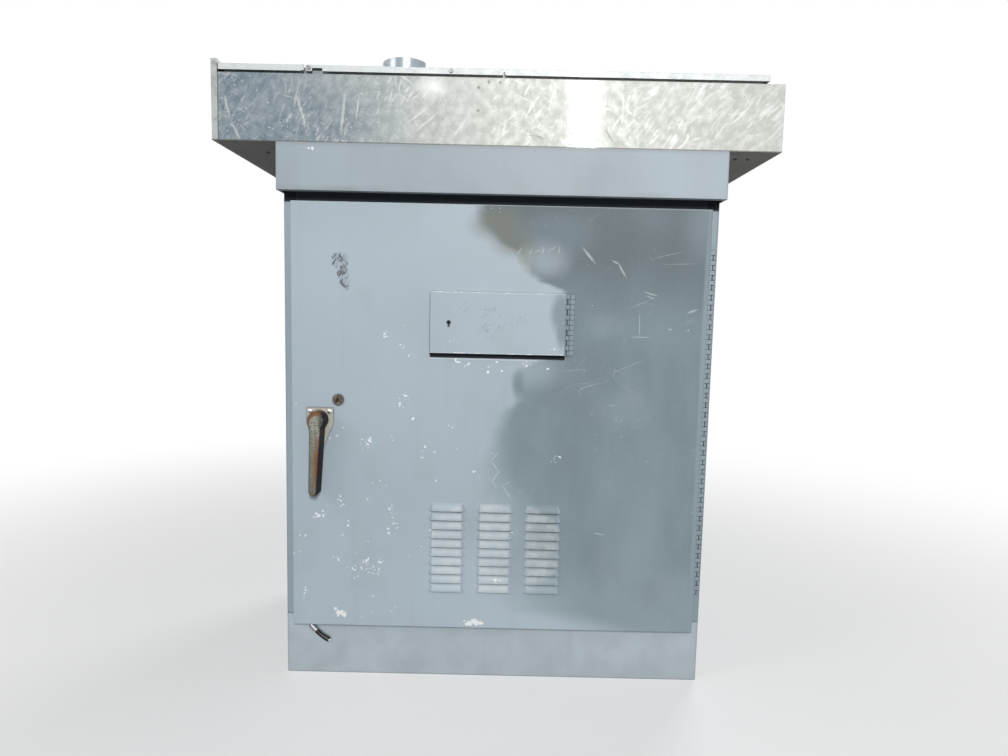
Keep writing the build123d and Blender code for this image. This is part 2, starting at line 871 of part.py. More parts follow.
def latch_rod(direction, roller_z):
    """Return one latch rod: a slotted end on its cam pin and a fork with the roller's pin."""
    x = shaft_x + direction * rod_offset
    pin_z = shaft_z - direction * pin_swing
    near = pin_z - direction * rod_end
    far = roller_z + direction * fork_tip
    rod = block(x - rod_width / 2, x + rod_width / 2, rod_front, rod_back, *sorted((near, far)))
    play = cam_pin_radius + slot_play
    yoke_near = shaft_x + direction * rod_gap / 2
    yoke_far = shaft_x + direction * (cam_radius + play + yoke_wall)
    rod += block(*sorted((yoke_near, yoke_far)), rod_front, rod_back, pin_z - rod_end, pin_z + rod_end)
    slot_start = shaft_x + direction * (pin_swing - play)
    slot_end = shaft_x + direction * (cam_radius + play)
    through = (rod_front - cut_margin, rod_back + cut_margin)
    rod -= block(*sorted((slot_start, slot_end)), *through, pin_z - play, pin_z + play)
    fork_half = roller_width / 2 + layer_gap
    fork_floor = roller_z - direction * fork_depth
    fork_end = far + direction * cut_margin
    rod -= block(x - fork_half, x + fork_half, *through, *sorted((fork_floor, fork_end)))
    return rod + cylinder_x(x - rod_width / 2, x + rod_width / 2, rod_y, roller_z, roller_pin_radius)


def latch_roller(direction, roller_z):
    """Return the roller at the end of one latch rod."""
    x = shaft_x + direction * rod_offset
    roller = cylinder_x(x - roller_width / 2, x + roller_width / 2, rod_y, roller_z, roller_radius)
    bore = roller_pin_radius + running_clearance
    return roller - cylinder_x(x - roller_width, x + roller_width, rod_y, roller_z, bore)


def rod_guide(direction, z):
    """Return one guide: a block on the door with a slot that a latch rod slides in."""
    half = guide_width / 2
    depth = rod_back + guide_cover - door_inner
    end = half - guide_narrowing
    outline = Polyline((-half, 0), (half, 0), (end, depth), (-end, depth), close=True)
    guide = Pos(0, door_inner, -guide_height / 2) * extrude(make_face(outline), guide_height)
    play = 2 * guide_clearance
    guide -= Pos(0, rod_y, 0) * Box(rod_width + play, rod_thickness + play, 2 * guide_height)
    return Pos(shaft_x + direction * rod_offset, 0, z) * guide


def rod_guides():
    """Return the four guides, two on each rod."""
    guides = [rod_guide(1, z) for z in upper_guides] + [rod_guide(-1, z) for z in lower_guides]
    return Compound(children=guides)


def lock_case():
    """Return the lock's casting: the collar in the door, the case and the straps over the bolt."""
    case = block(
        lock_x - lock_case_half, lock_x + lock_case_half, door_inner, lock_case_back,
        lock_z - lock_case_below, lock_z + lock_case_above,
    )
    case = fillet(case.edges().filter_by(Axis.Y), door_edge_radius)
    case += cylinder_y(door_front - lock_collar_proud, door_inner, lock_x, lock_z, lock_collar_radius)
    bolt_back = bolt_front + bolt_thickness
    strap_back = bolt_back + layer_gap + strap_thickness
    for strap_end in (bolt_end, bolt_end - strap_pitch):
        strap = block(
            strap_end - strap_width, strap_end, lock_case_back, strap_back,
            bolt_bottom - layer_gap - strap_thickness, bolt_top + layer_gap + strap_thickness,
        )
        case += strap
    case -= block(
        bolt_tip - bolt_travel, bolt_end + layer_gap, lock_case_back, bolt_back + layer_gap,
        bolt_bottom - layer_gap, bolt_top + layer_gap,
    )
    bore = lock_plug_radius + running_clearance
    start = door_front - 2 * lock_collar_proud
    return case - cylinder_y(start, lock_case_back + cut_margin, lock_x, lock_z, bore)


def lock_plug():
    """Return the turning plug, with its key slot at the front and its drive pin at the back."""
    start = door_front - lock_collar_proud
    plug = cylinder_y(start, lock_case_back, lock_x, lock_z, lock_plug_radius)
    plug -= Pos(lock_x, start, lock_z) * Box(key_slot_width, 2 * key_slot_depth, key_slot_height)
    plug -= cylinder_y(start - cut_margin, start + key_slot_depth, lock_x, lock_z, key_post_radius)
    x = lock_x + lock_pin_swing
    z = lock_z - lock_pin_swing
    return plug + cylinder_y(lock_case_back, bolt_front + bolt_thickness, x, z, lock_pin_radius)


def lock_bolt():
    """Return the bolt that the plug's pin slides into the path of the cam's tooth."""
    back_face = bolt_front + bolt_thickness
    bolt = block(bolt_shoulder, bolt_end, bolt_front, back_face, bolt_bottom, bolt_top)
    bolt += block(bolt_tip, bolt_shoulder, bolt_front, back_face, bolt_bottom, bolt_nose_top)
    slot_half = lock_pin_radius + bolt_slot_play
    slot_low = lock_z - lock_pin_orbit - slot_half
    slot_high = lock_z - lock_pin_swing + slot_half
    x = lock_x + lock_pin_swing
    through = (bolt_front - cut_margin, back_face + cut_margin)
    return bolt - block(x - slot_half, x + slot_half, *through, slot_low, slot_high)


def access_door():
    """Return the small door: a shallow folded pan with its keyhole."""
    pan = block(access_left, access_right, access_front, access_back, access_bottom, access_top)
    pan = fillet(pan.faces().sort_by(Axis.Y)[0].edges(), access_sheet)
    pan -= block(
        access_left + access_sheet, access_right - access_sheet, access_front + access_sheet,
        access_back + cut_margin, access_bottom + access_sheet, access_top - access_sheet,
    )
    through = (access_front - cut_margin, access_front + 2 * access_sheet)
    pan -= cylinder_y(*through, keyhole_x, keyhole_z, keyhole_radius)
    half = keyhole_slot / 2
    return pan - block(
        keyhole_x - half, keyhole_x + half, *through, keyhole_z - keyhole_drop, keyhole_z
    )


def access_hinge_sizes():
    """Return the sizes that both leaves of the small hinge share."""
    return (
        access_barrel_radius, access_pin_radius, access_leaf_thickness, access_bottom, access_knuckles,
        access_height / access_knuckles,
    )


def access_hinge_leaf():
    """Return the leaf on the door's face."""
    edge = access_hinge_x + access_fixed_leaf_width
    low = door_front - access_leaf_thickness
    return hinge_leaf(False, edge, low, (access_hinge_x, access_hinge_y), access_hinge_sizes())


def access_door_leaf():
    """Return the leaf on the small door: a strip turned back along the pan's flange."""
    low = access_hinge_y - access_barrel_radius
    leaf = hinge_leaf(True, access_right, low, (access_hinge_x, access_hinge_y), access_hinge_sizes())
    foot = block(
        access_right, access_right + access_leaf_thickness, access_front + access_sheet,
        low + access_leaf_thickness, access_bottom, access_top,
    )
    return leaf + foot


def access_hinge_pin():
    """Return the pin of the small hinge."""
    return cylinder_z(access_bottom, access_top, access_hinge_x, access_hinge_y, access_pin_radius)


def access_lock_case():
    """Return the lock case inside the small door."""
    half = access_case_width / 2
    rise = access_case_height / 2
    end = door_inner - access_cam_gap
    case = block(
        keyhole_x - half, keyhole_x + half, access_front + access_sheet, end,
        keyhole_z - rise, keyhole_z + rise,
    )
    bore = access_spindle_radius + running_clearance
    return case - cylinder_y(access_front, end + cut_margin, keyhole_x, keyhole_z, bore)


def access_lock_cam():
    """Return the spindle and the cam arm, which hangs down when the small door is unlocked."""
    start = access_front + access_sheet + seat_gap
    arm_front = door_inner + access_cam_gap
    arm_back = arm_front + access_cam_thickness
    spindle = cylinder_y(start, arm_back, keyhole_x, keyhole_z, access_spindle_radius)
    reach = Pos(0, -(access_cam_reach - access_cam_width / 2) / 2)
    slot = Rot(0, 0, 90) * SlotOverall(access_cam_reach + access_cam_width / 2, access_cam_width)
    arm = extrude(facing_front(keyhole_x, arm_back, keyhole_z) * (reach * slot), access_cam_thickness)
    keyway = block(
        keyhole_x - keyhole_slot / 2, keyhole_x + keyhole_slot / 2, start - cut_margin, start + keyhole_drop,
        keyhole_z - keyhole_drop / 2, keyhole_z + keyhole_radius,
    )
    return spindle + arm - keyway


def toggle_places():
    """Return the X of each toggle switch."""
    middle = (access_left + access_right) / 2 + toggle_offset
    return (middle - toggle_spacing / 2, middle + toggle_spacing / 2)


def switch_compartment():
    """Return the box behind the small door's opening, with a bushing for each switch."""
    case = block(
        compartment_left, compartment_right, door_inner, compartment_back, compartment_bottom, compartment_top
    )
    case -= block(
        compartment_left + compartment_wall, compartment_right - compartment_wall, door_inner - cut_margin,
        compartment_back - compartment_wall, compartment_bottom + compartment_wall,
        compartment_top - compartment_wall,
    )
    for x in toggle_places():
        case += cylinder_y(switch_y - bushing_length, switch_y, x, switch_z, bushing_radius)
        through = (switch_y - bushing_length - cut_margin, compartment_back + cut_margin)
        case -= cylinder_y(*through, x, switch_z, bushing_bore)
    return case


def switch_bodies():
    """Return the switch bodies on the back of the compartment."""
    bodies = []
    for x in toggle_places():
        case = Box(switch_body, switch_body, 2 * switch_body)
        case = Pos(x, compartment_back + switch_body / 2, switch_z) * case
        bore = (compartment_back - cut_margin, compartment_back + switch_bore_depth)
        bodies.append(case - cylinder_y(*bore, x, switch_z, bushing_bore))
    return Compound(children=bodies)


def toggle_lever(x):
    """Return one toggle lever, tilted down on its ball."""
    stem = Pos(0, 0, toggle_length / 2) * Cone(toggle_stem_radius, toggle_tip_radius, toggle_length)
    tip = Pos(0, 0, toggle_length) * Sphere(toggle_tip_radius)
    lever = Sphere(toggle_ball_radius) + stem + tip
    pivot = Pos(x, switch_y - bushing_length / 2, switch_z)
    return pivot * Rot(90 + toggle_tilt, 0, 0) * lever


def rail(x_wall, direction, y):
    """Return one slotted upright channel on a side wall, its mouth towards the middle."""
    inner = x_wall - direction * rail_depth
    channel = block(*sorted((x_wall, inner)), y - rail_width / 2, y + rail_width / 2, rail_bottom, rail_top)
    hollow = sorted((x_wall - direction * rail_wall, inner + direction * rail_wall))
    channel -= block(*hollow, y - rail_width / 2 + rail_wall, y + rail_width / 2 - rail_wall, 0, wall_top)
    mouth = sorted((inner - direction * cut_margin, inner + 2 * direction * rail_wall))
    return channel - block(*mouth, y - rail_slot / 2, y + rail_slot / 2, 0, wall_top)


def equipment_rails():
    """Return the four upright rails."""
    wall = side - sheet
    rails = [
        rail(direction * wall, direction, y)
        for direction in (-1, 1)
        for y in (rail_front_y, rail_rear_y)
    ]
    return Compound(children=rails)


def shelf(level):
    """Return one shelf: a sheet with its edges folded down, between the rails."""
    half = side - sheet - rail_depth
    tray = block(-half, half, shelf_front, shelf_back, level - shelf_edge, level)
    return tray - block(
        -half + shelf_thickness, half - shelf_thickness, shelf_front + shelf_thickness,
        shelf_back - shelf_thickness, level - shelf_edge - cut_margin, level - shelf_thickness,
    )


def ceiling_panel():
    """Return the panel that parts the fan space from the cabinet, its edges folded up."""
    half = side - sheet - ceiling_thickness
    end = back - sheet - ceiling_thickness
    tray = Pos(0, 0, ceiling_level) * extrude(inner_outline(), ceiling_edge)
    floor = ceiling_level + ceiling_thickness
    tray -= block(-half, half, -end, end, floor, ceiling_level + ceiling_edge + cut_margin)
    return tray - cylinder_z(ceiling_level - cut_margin, ceiling_level + ceiling_edge, 0, 0, fan_bore)


def fan_housing():
    """Return the square fan frame with its motor plate on four arms."""
    frame = block(-fan_size / 2, fan_size / 2, -fan_size / 2, fan_size / 2, fan_bottom, ceiling_level)
    frame -= cylinder_z(fan_bottom - cut_margin, ceiling_level + cut_margin, 0, 0, fan_bore)
    arm_top = fan_bottom + fan_arm
    for angle in (45, 135):
        arm = Box(2 * (fan_bore + fan_arm_root), fan_arm, fan_arm)
        frame += Pos(0, 0, fan_bottom + fan_arm / 2) * Rot(0, 0, angle) * arm
    frame += cylinder_z(fan_bottom, arm_top, 0, 0, fan_hub_radius)
    return frame + cylinder_z(arm_top, ceiling_level - fan_arm, 0, 0, fan_spindle_radius)


def fan_rotor():
    """Return the rotor: a hub on the spindle with pitched blades."""
    low = fan_bottom + fan_arm + fan_clearance
    high = ceiling_level - 2 * fan_clearance
    hub = cylinder_z(low, high, 0, 0, fan_hub_radius)
    blade_length = fan_blade_reach - fan_hub_radius + fan_blade_root
    middle = fan_hub_radius - fan_blade_root + blade_length / 2
    blade = Rot(fan_blade_angle, 0, 0) * Box(blade_length, fan_blade_chord, fan_blade_thickness)
    blade = Pos(middle, 0, (low + high) / 2) * blade
    sweep = cylinder_z(low, high, 0, 0, fan_blade_reach)
    blades = [Rot(0, 0, 360 * number / fan_blades) * blade for number in range(fan_blades)]
    rotor = (hub + blades) & sweep
    bore = fan_spindle_radius + running_clearance
    return rotor - cylinder_z(low - cut_margin, high + cut_margin, 0, 0, bore)


def mounting_panel():
    """Return the panel at the back, on standoffs from the back wall."""
    panel = block(-panel_half_width, panel_half_width, panel_front, panel_back, panel_bottom, panel_top)
    for x in (-panel_half_width + standoff_inset, panel_half_width - standoff_inset):
        for z in (panel_bottom + standoff_inset, panel_top - standoff_inset):
            panel += cylinder_y(panel_back, back - sheet, x, z, standoff_radius)
    return panel


def power_panel():
    """Return the power plate with its top-hat rail."""
    half = power_width / 2
    rise = power_height / 2
    plate = block(power_x - half, power_x + half, power_front, panel_front, power_z - rise, power_z + rise)
    low = power_z - din_height / 2
    high = power_z + din_height / 2
    left = power_x - half + din_end_gap
    right = power_x + half - din_end_gap
    plate += block(left, right, din_front, power_front, low + din_flange, high - din_flange)
    return plate + block(left, right, din_front, din_front + din_sheet, low, high)


def breaker_case():
    """Return the main breaker's case on the rail."""
    half = breaker_width / 2
    rise = breaker_height / 2
    case = block(
        breaker_x - half, breaker_x + half, breaker_front, din_front, power_z - rise, power_z + rise
    )
    nose_front = breaker_front - breaker_nose_depth
    nose = block(
        breaker_x - half, breaker_x + half, nose_front, breaker_front,
        power_z - rise / 2, power_z + rise / 2,
    )
    well_half = breaker_lever_width / 2 + seat_gap
    well_rise = breaker_well_height / 2
    well = block(
        breaker_x - well_half, breaker_x + well_half, nose_front - cut_margin,
        breaker_front + breaker_well_depth, power_z - well_rise, power_z + well_rise,
    )
    return case + nose - well


def breaker_lever():
    """Return the breaker's lever, tilted down on its pivot."""
    half = breaker_lever_width / 2
    arm_half = breaker_lever_thickness / 2
    drum = cylinder_x(-half, half, 0, 0, breaker_drum_radius)
    arm = block(-half, half, -breaker_lever_reach, 0, -arm_half, arm_half)
    pivot = Pos(breaker_x, breaker_front - breaker_pivot_rise, power_z)
    return pivot * Rot(breaker_tilt, 0, 0) * (drum + arm)


def terminal_blocks():
    """Return the row of terminal blocks on the rail."""
    blocks = []
    for number in range(terminal_count):
        x = terminal_x + number * terminal_pitch
        low = power_z - terminal_height / 2
        high = power_z + terminal_height / 2
        width = terminal_pitch - terminal_gap
        front_face = din_front - terminal_depth
        case = block(x, x + width, front_face, din_front, low, high)
        bore = (front_face - cut_margin, front_face + terminal_hole_depth)
        for z in (low + terminal_screw_inset, high - terminal_screw_inset):
            case -= cylinder_y(*bore, x + width / 2, z, terminal_hole_radius)
        blocks.append(case)
    return Compound(children=blocks)


def lead_direction():
    """Return the frame in which the lead leaves along its own X, flat against the sill."""
    return Pos(lead_x, front - ferrule_radius, lead_z) * Rot(0, lead_slope, 0)


def lead_ferrule():
    """Return the metal ferrule where the lead leaves the sill."""
    ferrule = cylinder_x(0, ferrule_length, 0, 0, ferrule_radius)
    ferrule = fillet(ferrule.edges().sort_by(Axis.X)[-1], ferrule_edge_radius)
    return lead_direction() * ferrule


def lead_stub():
    """Return the short lead: a sleeve that bends down, a ring and a blunt tip."""
    turn = radians(lead_bend_angle)
    bend_end = (lead_bend_radius * sin(turn), lead_bend_radius * (1 - cos(turn)))
    path = Plane.XZ * RadiusArc((0, 0), bend_end, -lead_bend_radius)
    sleeve = sweep(Plane.YZ * Circle(lead_radius), path=path)
    end = path @ 1
    tip = Pos(end.X, 0, end.Z) * Rot(0, -lead_bend_angle, 0)
    ring = cylinder_x(0, lead_ring_length, 0, 0, lead_ring_radius)
    nose = cylinder_x(lead_ring_length, lead_ring_length + lead_tip_length, 0, 0, lead_tip_radius)
    return lead_direction() * Pos(ferrule_length, 0, 0) * (sleeve + tip * (ring + nose))


def pieces():
    """Return every piece under its own name."""
    toggles = toggle_places()
    return {
        "left_side_panel": side_panel(-1),
        "right_side_panel": side_panel(1),
        "back_panel": back_panel(),
        "sill_panel": sill_panel(),
        "door_header": door_header(),
        "door_frame": door_frame(),
        "base_flange": base_flange(),
        "hood": hood(),
        "eave_screen": eave_screen(),
        "roof_box_shell": roof_box_shell(),
        "roof_box_end_plate": roof_box_end_plate(),
        "left_lid": left_lid(),
        "middle_lid": middle_lid(),
        "right_lid": right_lid(),
        "vent_collar": vent_collar(),
        "hinge_frame_leaf": hinge_frame_leaf(),
        "hinge_door_leaf": hinge_door_leaf(),
        "hinge_pin": hinge_pin(),
        "main_door": main_door(),
        "door_gasket": door_gasket(),
        "door_stiffeners": door_stiffeners(),
        "filter_frame": filter_frame(),
        "air_filter": air_filter(),
        "handle_plate": handle_plate(),
        "door_handle": door_handle(),
        "handle_shaft": handle_shaft(),
        "shaft_bearing": shaft_bearing(),
        "latch_cam": latch_cam(),
        "upper_latch_rod": latch_rod(1, upper_roller_z),
        "lower_latch_rod": latch_rod(-1, lower_roller_z),
        "upper_roller": latch_roller(1, upper_roller_z),
        "lower_roller": latch_roller(-1, lower_roller_z),
        "rod_guides": rod_guides(),
        "lock_case": lock_case(),
        "lock_plug": lock_plug(),
        "lock_bolt": lock_bolt(),
        "access_door": access_door(),
        "access_hinge_leaf": access_hinge_leaf(),
        "access_door_leaf": access_door_leaf(),
        "access_hinge_pin": access_hinge_pin(),
        "access_lock_case": access_lock_case(),
        "access_lock_cam": access_lock_cam(),
        "switch_compartment": switch_compartment(),
        "switch_bodies": switch_bodies(),
        "left_toggle": toggle_lever(toggles[0]),
        "right_toggle": toggle_lever(toggles[1]),
        "equipment_rails": equipment_rails(),
        "lower_shelf": shelf(lower_shelf_level),
        "upper_shelf": shelf(upper_shelf_level),
        "ceiling_panel": ceiling_panel(),
        "fan_housing": fan_housing(),
        "fan_rotor": fan_rotor(),
        "mounting_panel": mounting_panel(),
        "power_panel": power_panel(),
        "breaker_case": breaker_case(),
        "breaker_lever": breaker_lever(),
        "terminal_blocks": terminal_blocks(),
        "lead_ferrule": lead_ferrule(),
        "lead_stub": lead_stub(),
    }


os.makedirs("parts", exist_ok=True)
for name, piece in pieces().items():
    export_step(piece, f"parts/{name}.step")
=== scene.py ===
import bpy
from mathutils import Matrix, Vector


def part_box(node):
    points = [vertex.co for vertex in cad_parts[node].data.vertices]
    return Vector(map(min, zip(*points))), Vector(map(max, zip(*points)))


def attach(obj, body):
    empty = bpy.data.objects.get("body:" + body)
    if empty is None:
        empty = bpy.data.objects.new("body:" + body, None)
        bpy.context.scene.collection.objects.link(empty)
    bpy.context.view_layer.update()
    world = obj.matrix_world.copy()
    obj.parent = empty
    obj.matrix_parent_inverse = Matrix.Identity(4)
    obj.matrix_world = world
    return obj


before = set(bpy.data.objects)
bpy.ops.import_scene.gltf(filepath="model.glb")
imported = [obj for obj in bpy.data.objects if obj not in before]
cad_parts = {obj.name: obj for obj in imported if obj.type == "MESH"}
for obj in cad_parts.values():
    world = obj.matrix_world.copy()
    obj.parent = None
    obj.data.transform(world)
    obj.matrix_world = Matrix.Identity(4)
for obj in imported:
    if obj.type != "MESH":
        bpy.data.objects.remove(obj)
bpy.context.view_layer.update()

from math import atan2, cos, hypot, pi, radians, sin

import bmesh
import bpy
from bpy.props import FloatProperty, FloatVectorProperty, PointerProperty
from mathutils import Matrix, Vector

bl_info = {
    "name": "Roadside cabinet finishes",
    "version": (1, 0, 0),
    "blender": (4, 5, 0),
    "location": "3D View > Sidebar > Cabinet",
    "description": "Paint, metal and fasteners of a roadside utility cabinet",
    "category": "Object",
}

# All lengths are in metres and all turns in radians, apart from the camera's sensor and focal length.
# The camera's place and turn, its focal length in the photograph's pixels, and its sensor in millimetres
CAMERA_PLACE = (0.016, -2.0652, 0.985)
CAMERA_PITCH = radians(5.48)
CAMERA_ROLL = 0.0225
CAMERA_FOCAL_PIXELS = 665.0
PHOTO_WIDTH = 1008
SENSOR_WIDTH = 36.0

# Lamps: name, place, what the lamp looks at, width and height
KEY_LAMP = ("key_lamp", (0.79, -5.8, 3.15), (0.0, -0.3, 0.8), 0.26, 1.3)
SIDE_LAMP = ("side_lamp", (-3.6, -2.2, 2.6), (0.0, -0.3, 0.8), 1.6, 1.6)
BACK_LAMP = ("back_lamp", (2.2, 3.6, 3.2), (0.0, 0.0, 0.8), 1.8, 1.8)
FLOOR_RADIUS = 30.0
FLOOR_CORNERS = 96
FLOOR_FADE = (0.9, 3.6)
SKY_COLOUR = (0.94, 0.97, 1.0, 1.0)
WHITE = (1.0, 1.0, 1.0, 1.0)

# Places on the front are x, across from the door's middle, and z, up from the base
SHAFT = (-0.459, 0.705)
KEYHOLE = (-0.1276, 0.961)
# Grime and painted shade round the keyhole: radius of the ring, then half the width and the drop of the slot
KEYHOLE_RING = 0.0060
KEYHOLE_SLOT = (0.0028, 0.0120)
DOOR_FOOT = 0.146
DOOR_TOP = 1.259
DOOR_WIDTH = 1.067
LOUVRE_FACE = (-0.3566, -0.3600)
SILL_TOP = 0.165
# Heights over which the painted shade under the hood begins on the front
PAINTED_SHADE_RISE = (1.256, 1.262)
KNUCKLE = 0.0127
SMALL_KNUCKLE = 0.157 / 12
ACROSS = (1.0, 0.0, 0.0)

# Screws and rivets: places on the front as x and z, and below as x and y
HOUSING_SCREWS = ((-0.037, 1.549), (-0.010, 1.549), (-0.062, 1.536), (-0.062, 1.482))
LID_SCREWS = ((-0.130, 1.574), (-0.478, 1.574))
UNDERSIDE_SCREWS = ((0.600, -0.30), (0.632, -0.30), (0.585, -0.20), (0.578, -0.14), (-0.62, -0.26))
PLATE_RIVETS = ((-0.4848, 0.724), (-0.4332, 0.724))
# The row of rivets of the hinge's door leaf: across, in from its rear edge, first height, step and number
LEAF_RIVET_X = 0.523
LEAF_RIVET_DEPTH = 0.0064
LEAF_RIVET_START = 0.0381
LEAF_RIVET_PITCH = 0.0762
LEAF_RIVET_COUNT = 12
# Radius and height of the smaller fasteners
FACE_SCREW = (0.0030, 0.0015)
LID_SCREW = (0.0046, 0.0040)
LEAF_RIVET = (0.003, 0.0012)
# How far off a surface the search for it starts
RAY_START = 0.1

# Pieces held by four screws: node, body, the side that they are on, and how far in from its edges
INSIDE_SCREWS = (
    ("mounting_panel", "cabinet", "front", 0.020), ("power_panel", "cabinet", "front", 0.012),
    ("fan_housing", "cabinet", "below", 0.006), ("filter_frame", "door", "back", 0.006),
    ("lock_case", "door", "back", 0.005),
)
TURNS = {"front": (pi / 2, 0.0, 0.0), "back": (-pi / 2, 0.0, 0.0), "below": (pi, 0.0, 0.0)}

# Thin marks: x and z at one end and at the other, then half the width
DOOR_SCRAPES = (
    (0.209, 1.156, 0.238, 1.122, 0.0030), (0.286, 1.126, 0.301, 1.118, 0.0022),
    (0.301, 1.118, 0.318, 1.089, 0.0026), (0.370, 1.049, 0.401, 1.040, 0.0016),
    (0.376, 1.039, 0.397, 1.032, 0.0012), (0.483, 0.999, 0.505, 1.007, 0.0026),
    (0.359, 0.998, 0.361, 0.937, 0.0010), (0.342, 0.934, 0.386, 0.934, 0.0010),
    (0.433, 0.957, 0.444, 0.954, 0.0018), (0.005, 0.627, -0.013, 0.602, 0.0018),
    (-0.013, 0.602, 0.008, 0.574, 0.0018), (0.008, 0.574, -0.009, 0.549, 0.0018),
    (-0.009, 0.549, 0.004, 0.531, 0.0014), (0.020, 0.534, 0.042, 0.502, 0.0018),
    (0.263, 0.415, 0.289, 0.411, 0.0014),
)
DOOR_HAIRS = (
    (0.330, 1.006, 0.384, 1.029, 0.0007), (0.392, 1.135, 0.460, 1.152, 0.0007),
    (0.420, 1.120, 0.495, 1.123, 0.0007), (0.310, 0.847, 0.380, 0.878, 0.0007),
    (0.170, 0.842, 0.225, 0.848, 0.0007), (0.074, 1.137, 0.079, 1.152, 0.0016),
    (0.088, 1.143, 0.102, 1.150, 0.0013), (0.106, 1.138, 0.109, 1.156, 0.0018),
    (0.119, 1.143, 0.127, 1.152, 0.0012), (0.127, 1.150, 0.141, 1.158, 0.0015),
    (0.147, 1.139, 0.150, 1.158, 0.0017), (0.043, 1.137, 0.053, 1.152, 0.0018),
)
HOUSING_SCRAPES = (
    (-0.389, 1.512, -0.399, 1.425, 0.0036), (-0.507, 1.505, -0.487, 1.440, 0.0028),
    (-0.684, 1.500, -0.672, 1.450, 0.0026), (-0.668, 1.440, -0.648, 1.400, 0.0026),
    (-0.355, 1.505, -0.362, 1.455, 0.0022), (-0.213, 1.430, -0.165, 1.470, 0.0030),
    (-0.235, 1.448, -0.190, 1.482, 0.0024), (-0.120, 1.420, -0.085, 1.470, 0.0030),
    (0.300, 1.475, 0.360, 1.512, 0.0032),
)

# Clusters of chips, pale flakes and patches of lines: x, z, half the width and half the height
DOOR_CHIPS = (
    (-0.343, 0.645, 0.024, 0.024), (-0.184, 0.613, 0.014, 0.030), (-0.099, 0.639, 0.010, 0.016),
    (-0.059, 0.574, 0.008, 0.010), (-0.402, 0.489, 0.013, 0.028), (-0.462, 0.445, 0.018, 0.020),
    (-0.381, 0.427, 0.010, 0.022), (-0.270, 0.434, 0.022, 0.042), (-0.500, 0.439, 0.009, 0.008),
    (-0.453, 0.341, 0.010, 0.008), (-0.340, 0.311, 0.055, 0.030), (-0.496, 0.288, 0.008, 0.010),
    (-0.501, 0.236, 0.007, 0.024), (-0.254, 0.201, 0.010, 0.007), (-0.174, 0.416, 0.012, 0.008),
    (-0.194, 0.365, 0.007, 0.009), (-0.081, 0.429, 0.008, 0.007), (0.051, 0.413, 0.008, 0.007),
    (-0.021, 0.306, 0.012, 0.008), (0.009, 0.281, 0.012, 0.007), (0.154, 0.611, 0.022, 0.012),
    (-0.244, 0.755, 0.026, 0.018), (-0.060, 0.851, 0.050, 0.012), (0.070, 0.856, 0.022, 0.008),
    (-0.250, 0.905, 0.014, 0.014), (-0.290, 0.925, 0.010, 0.010), (-0.225, 0.872, 0.012, 0.010),
    (-0.012, 1.246, 0.024, 0.005), (0.478, 0.950, 0.010, 0.008), (-0.215, 0.700, 0.010, 0.012),
    (-0.330, 0.380, 0.016, 0.010), (-0.420, 0.330, 0.014, 0.008), (-0.120, 0.690, 0.010, 0.008),
)
DOOR_FLAKES = (
    (-0.410, 0.182, 0.010, 0.007), (-0.398, 0.176, 0.007, 0.005), (-0.420, 0.190, 0.004, 0.004),
    (-0.062, 0.160, 0.012, 0.006), (-0.044, 0.163, 0.012, 0.008), (-0.030, 0.161, 0.007, 0.004),
    (-0.109, 0.864, 0.0022, 0.0055), (-0.102, 0.8595, 0.0060, 0.0018), (-0.026, 0.836, 0.0034, 0.0030),
    (-0.003, 0.862, 0.0030, 0.0022), (0.074, 0.865, 0.0030, 0.0022), (0.129, 0.847, 0.0034, 0.0030),
    (0.010, 0.839, 0.0030, 0.0024),
)
SMALL_DOOR_CHIPS = (
    (-0.150, 0.898, 0.014, 0.006), (-0.110, 0.920, 0.020, 0.010), (-0.160, 0.915, 0.008, 0.005),
    (0.070, 0.975, 0.006, 0.006), (0.140, 0.898, 0.012, 0.006),
)
SMALL_DOOR_LINES = (
    (-0.022, 0.965, 0.040, 0.045), (0.052, 0.960, 0.022, 0.024), (-0.085, 1.005, 0.020, 0.020),
)
HOOD_CHIPS = ((-0.476, 1.384, 0.012, 0.006), (-0.468, 1.380, 0.006, 0.004))

# Smudges on the door: x, z, half the width, half the height, weight, colour and its factor
DOOR_SMUDGES = (
    (-0.005, 1.215, 0.060, 0.038, 0.72, "smudge", 1.0), (0.035, 1.170, 0.046, 0.034, 0.72, "smudge", 1.0),
    (0.062, 1.128, 0.018, 0.034, 0.22, "tan_stain", 1.0),
    (0.052, 0.805, 0.013, 0.034, 0.75, "second_coat", 1.0),
    (0.150, 1.190, 0.100, 0.050, 0.50, "second_coat", 1.0),
    (0.050, 0.640, 0.045, 0.080, 0.22, "second_coat", 1.0),
    (0.300, 1.175, 0.070, 0.055, 0.35, "second_coat", 0.55),
    (0.430, 1.120, 0.060, 0.090, 0.30, "second_coat", 0.60),
    (0.332, 0.745, 0.070, 0.050, 0.16, "first_coat", 1.0),
    (0.279, 0.963, 0.050, 0.030, 0.14, "first_coat", 1.0),
    (0.350, 0.800, 0.030, 0.060, 0.12, "first_coat", 1.0),
)
# The darker coat's left outline: share of the door's height, then share of its width
OVERPAINT = (
    (0.0, 0.80), (0.05, 0.618), (0.17, 0.565), (0.32, 0.522), (0.39, 0.498), (0.46, 0.502), (0.50, 0.514),
    (0.53, 0.524), (0.555, 0.548), (0.614, 0.541), (0.63, 0.553), (0.652, 0.613), (0.67, 0.663),
    (0.81, 0.66), (0.83, 0.60), (0.855, 0.576), (0.90, 0.545), (0.915, 0.50), (0.955, 0.455), (1.0, 0.45),
)
# Fine bent lines on the door and on the aluminium: seed, angle and scale
DOOR_ARCS = ((46.0, 0.6, 18.0), (47.0, -0.5, 20.0), (48.0, 1.2, 16.0))
METAL_HAIRS = ((97.0, -0.3, 150.0), (98.0, 0.9, 150.0), (99.0, 2.0, 150.0))
# Pale lines along the small door's lips, worn paint with a painted highlight on the top lip: height, width
# and weight
SMALL_DOOR_LIPS = ((1.0385, 0.0018, 0.9), (0.8845, 0.0012, 0.7))
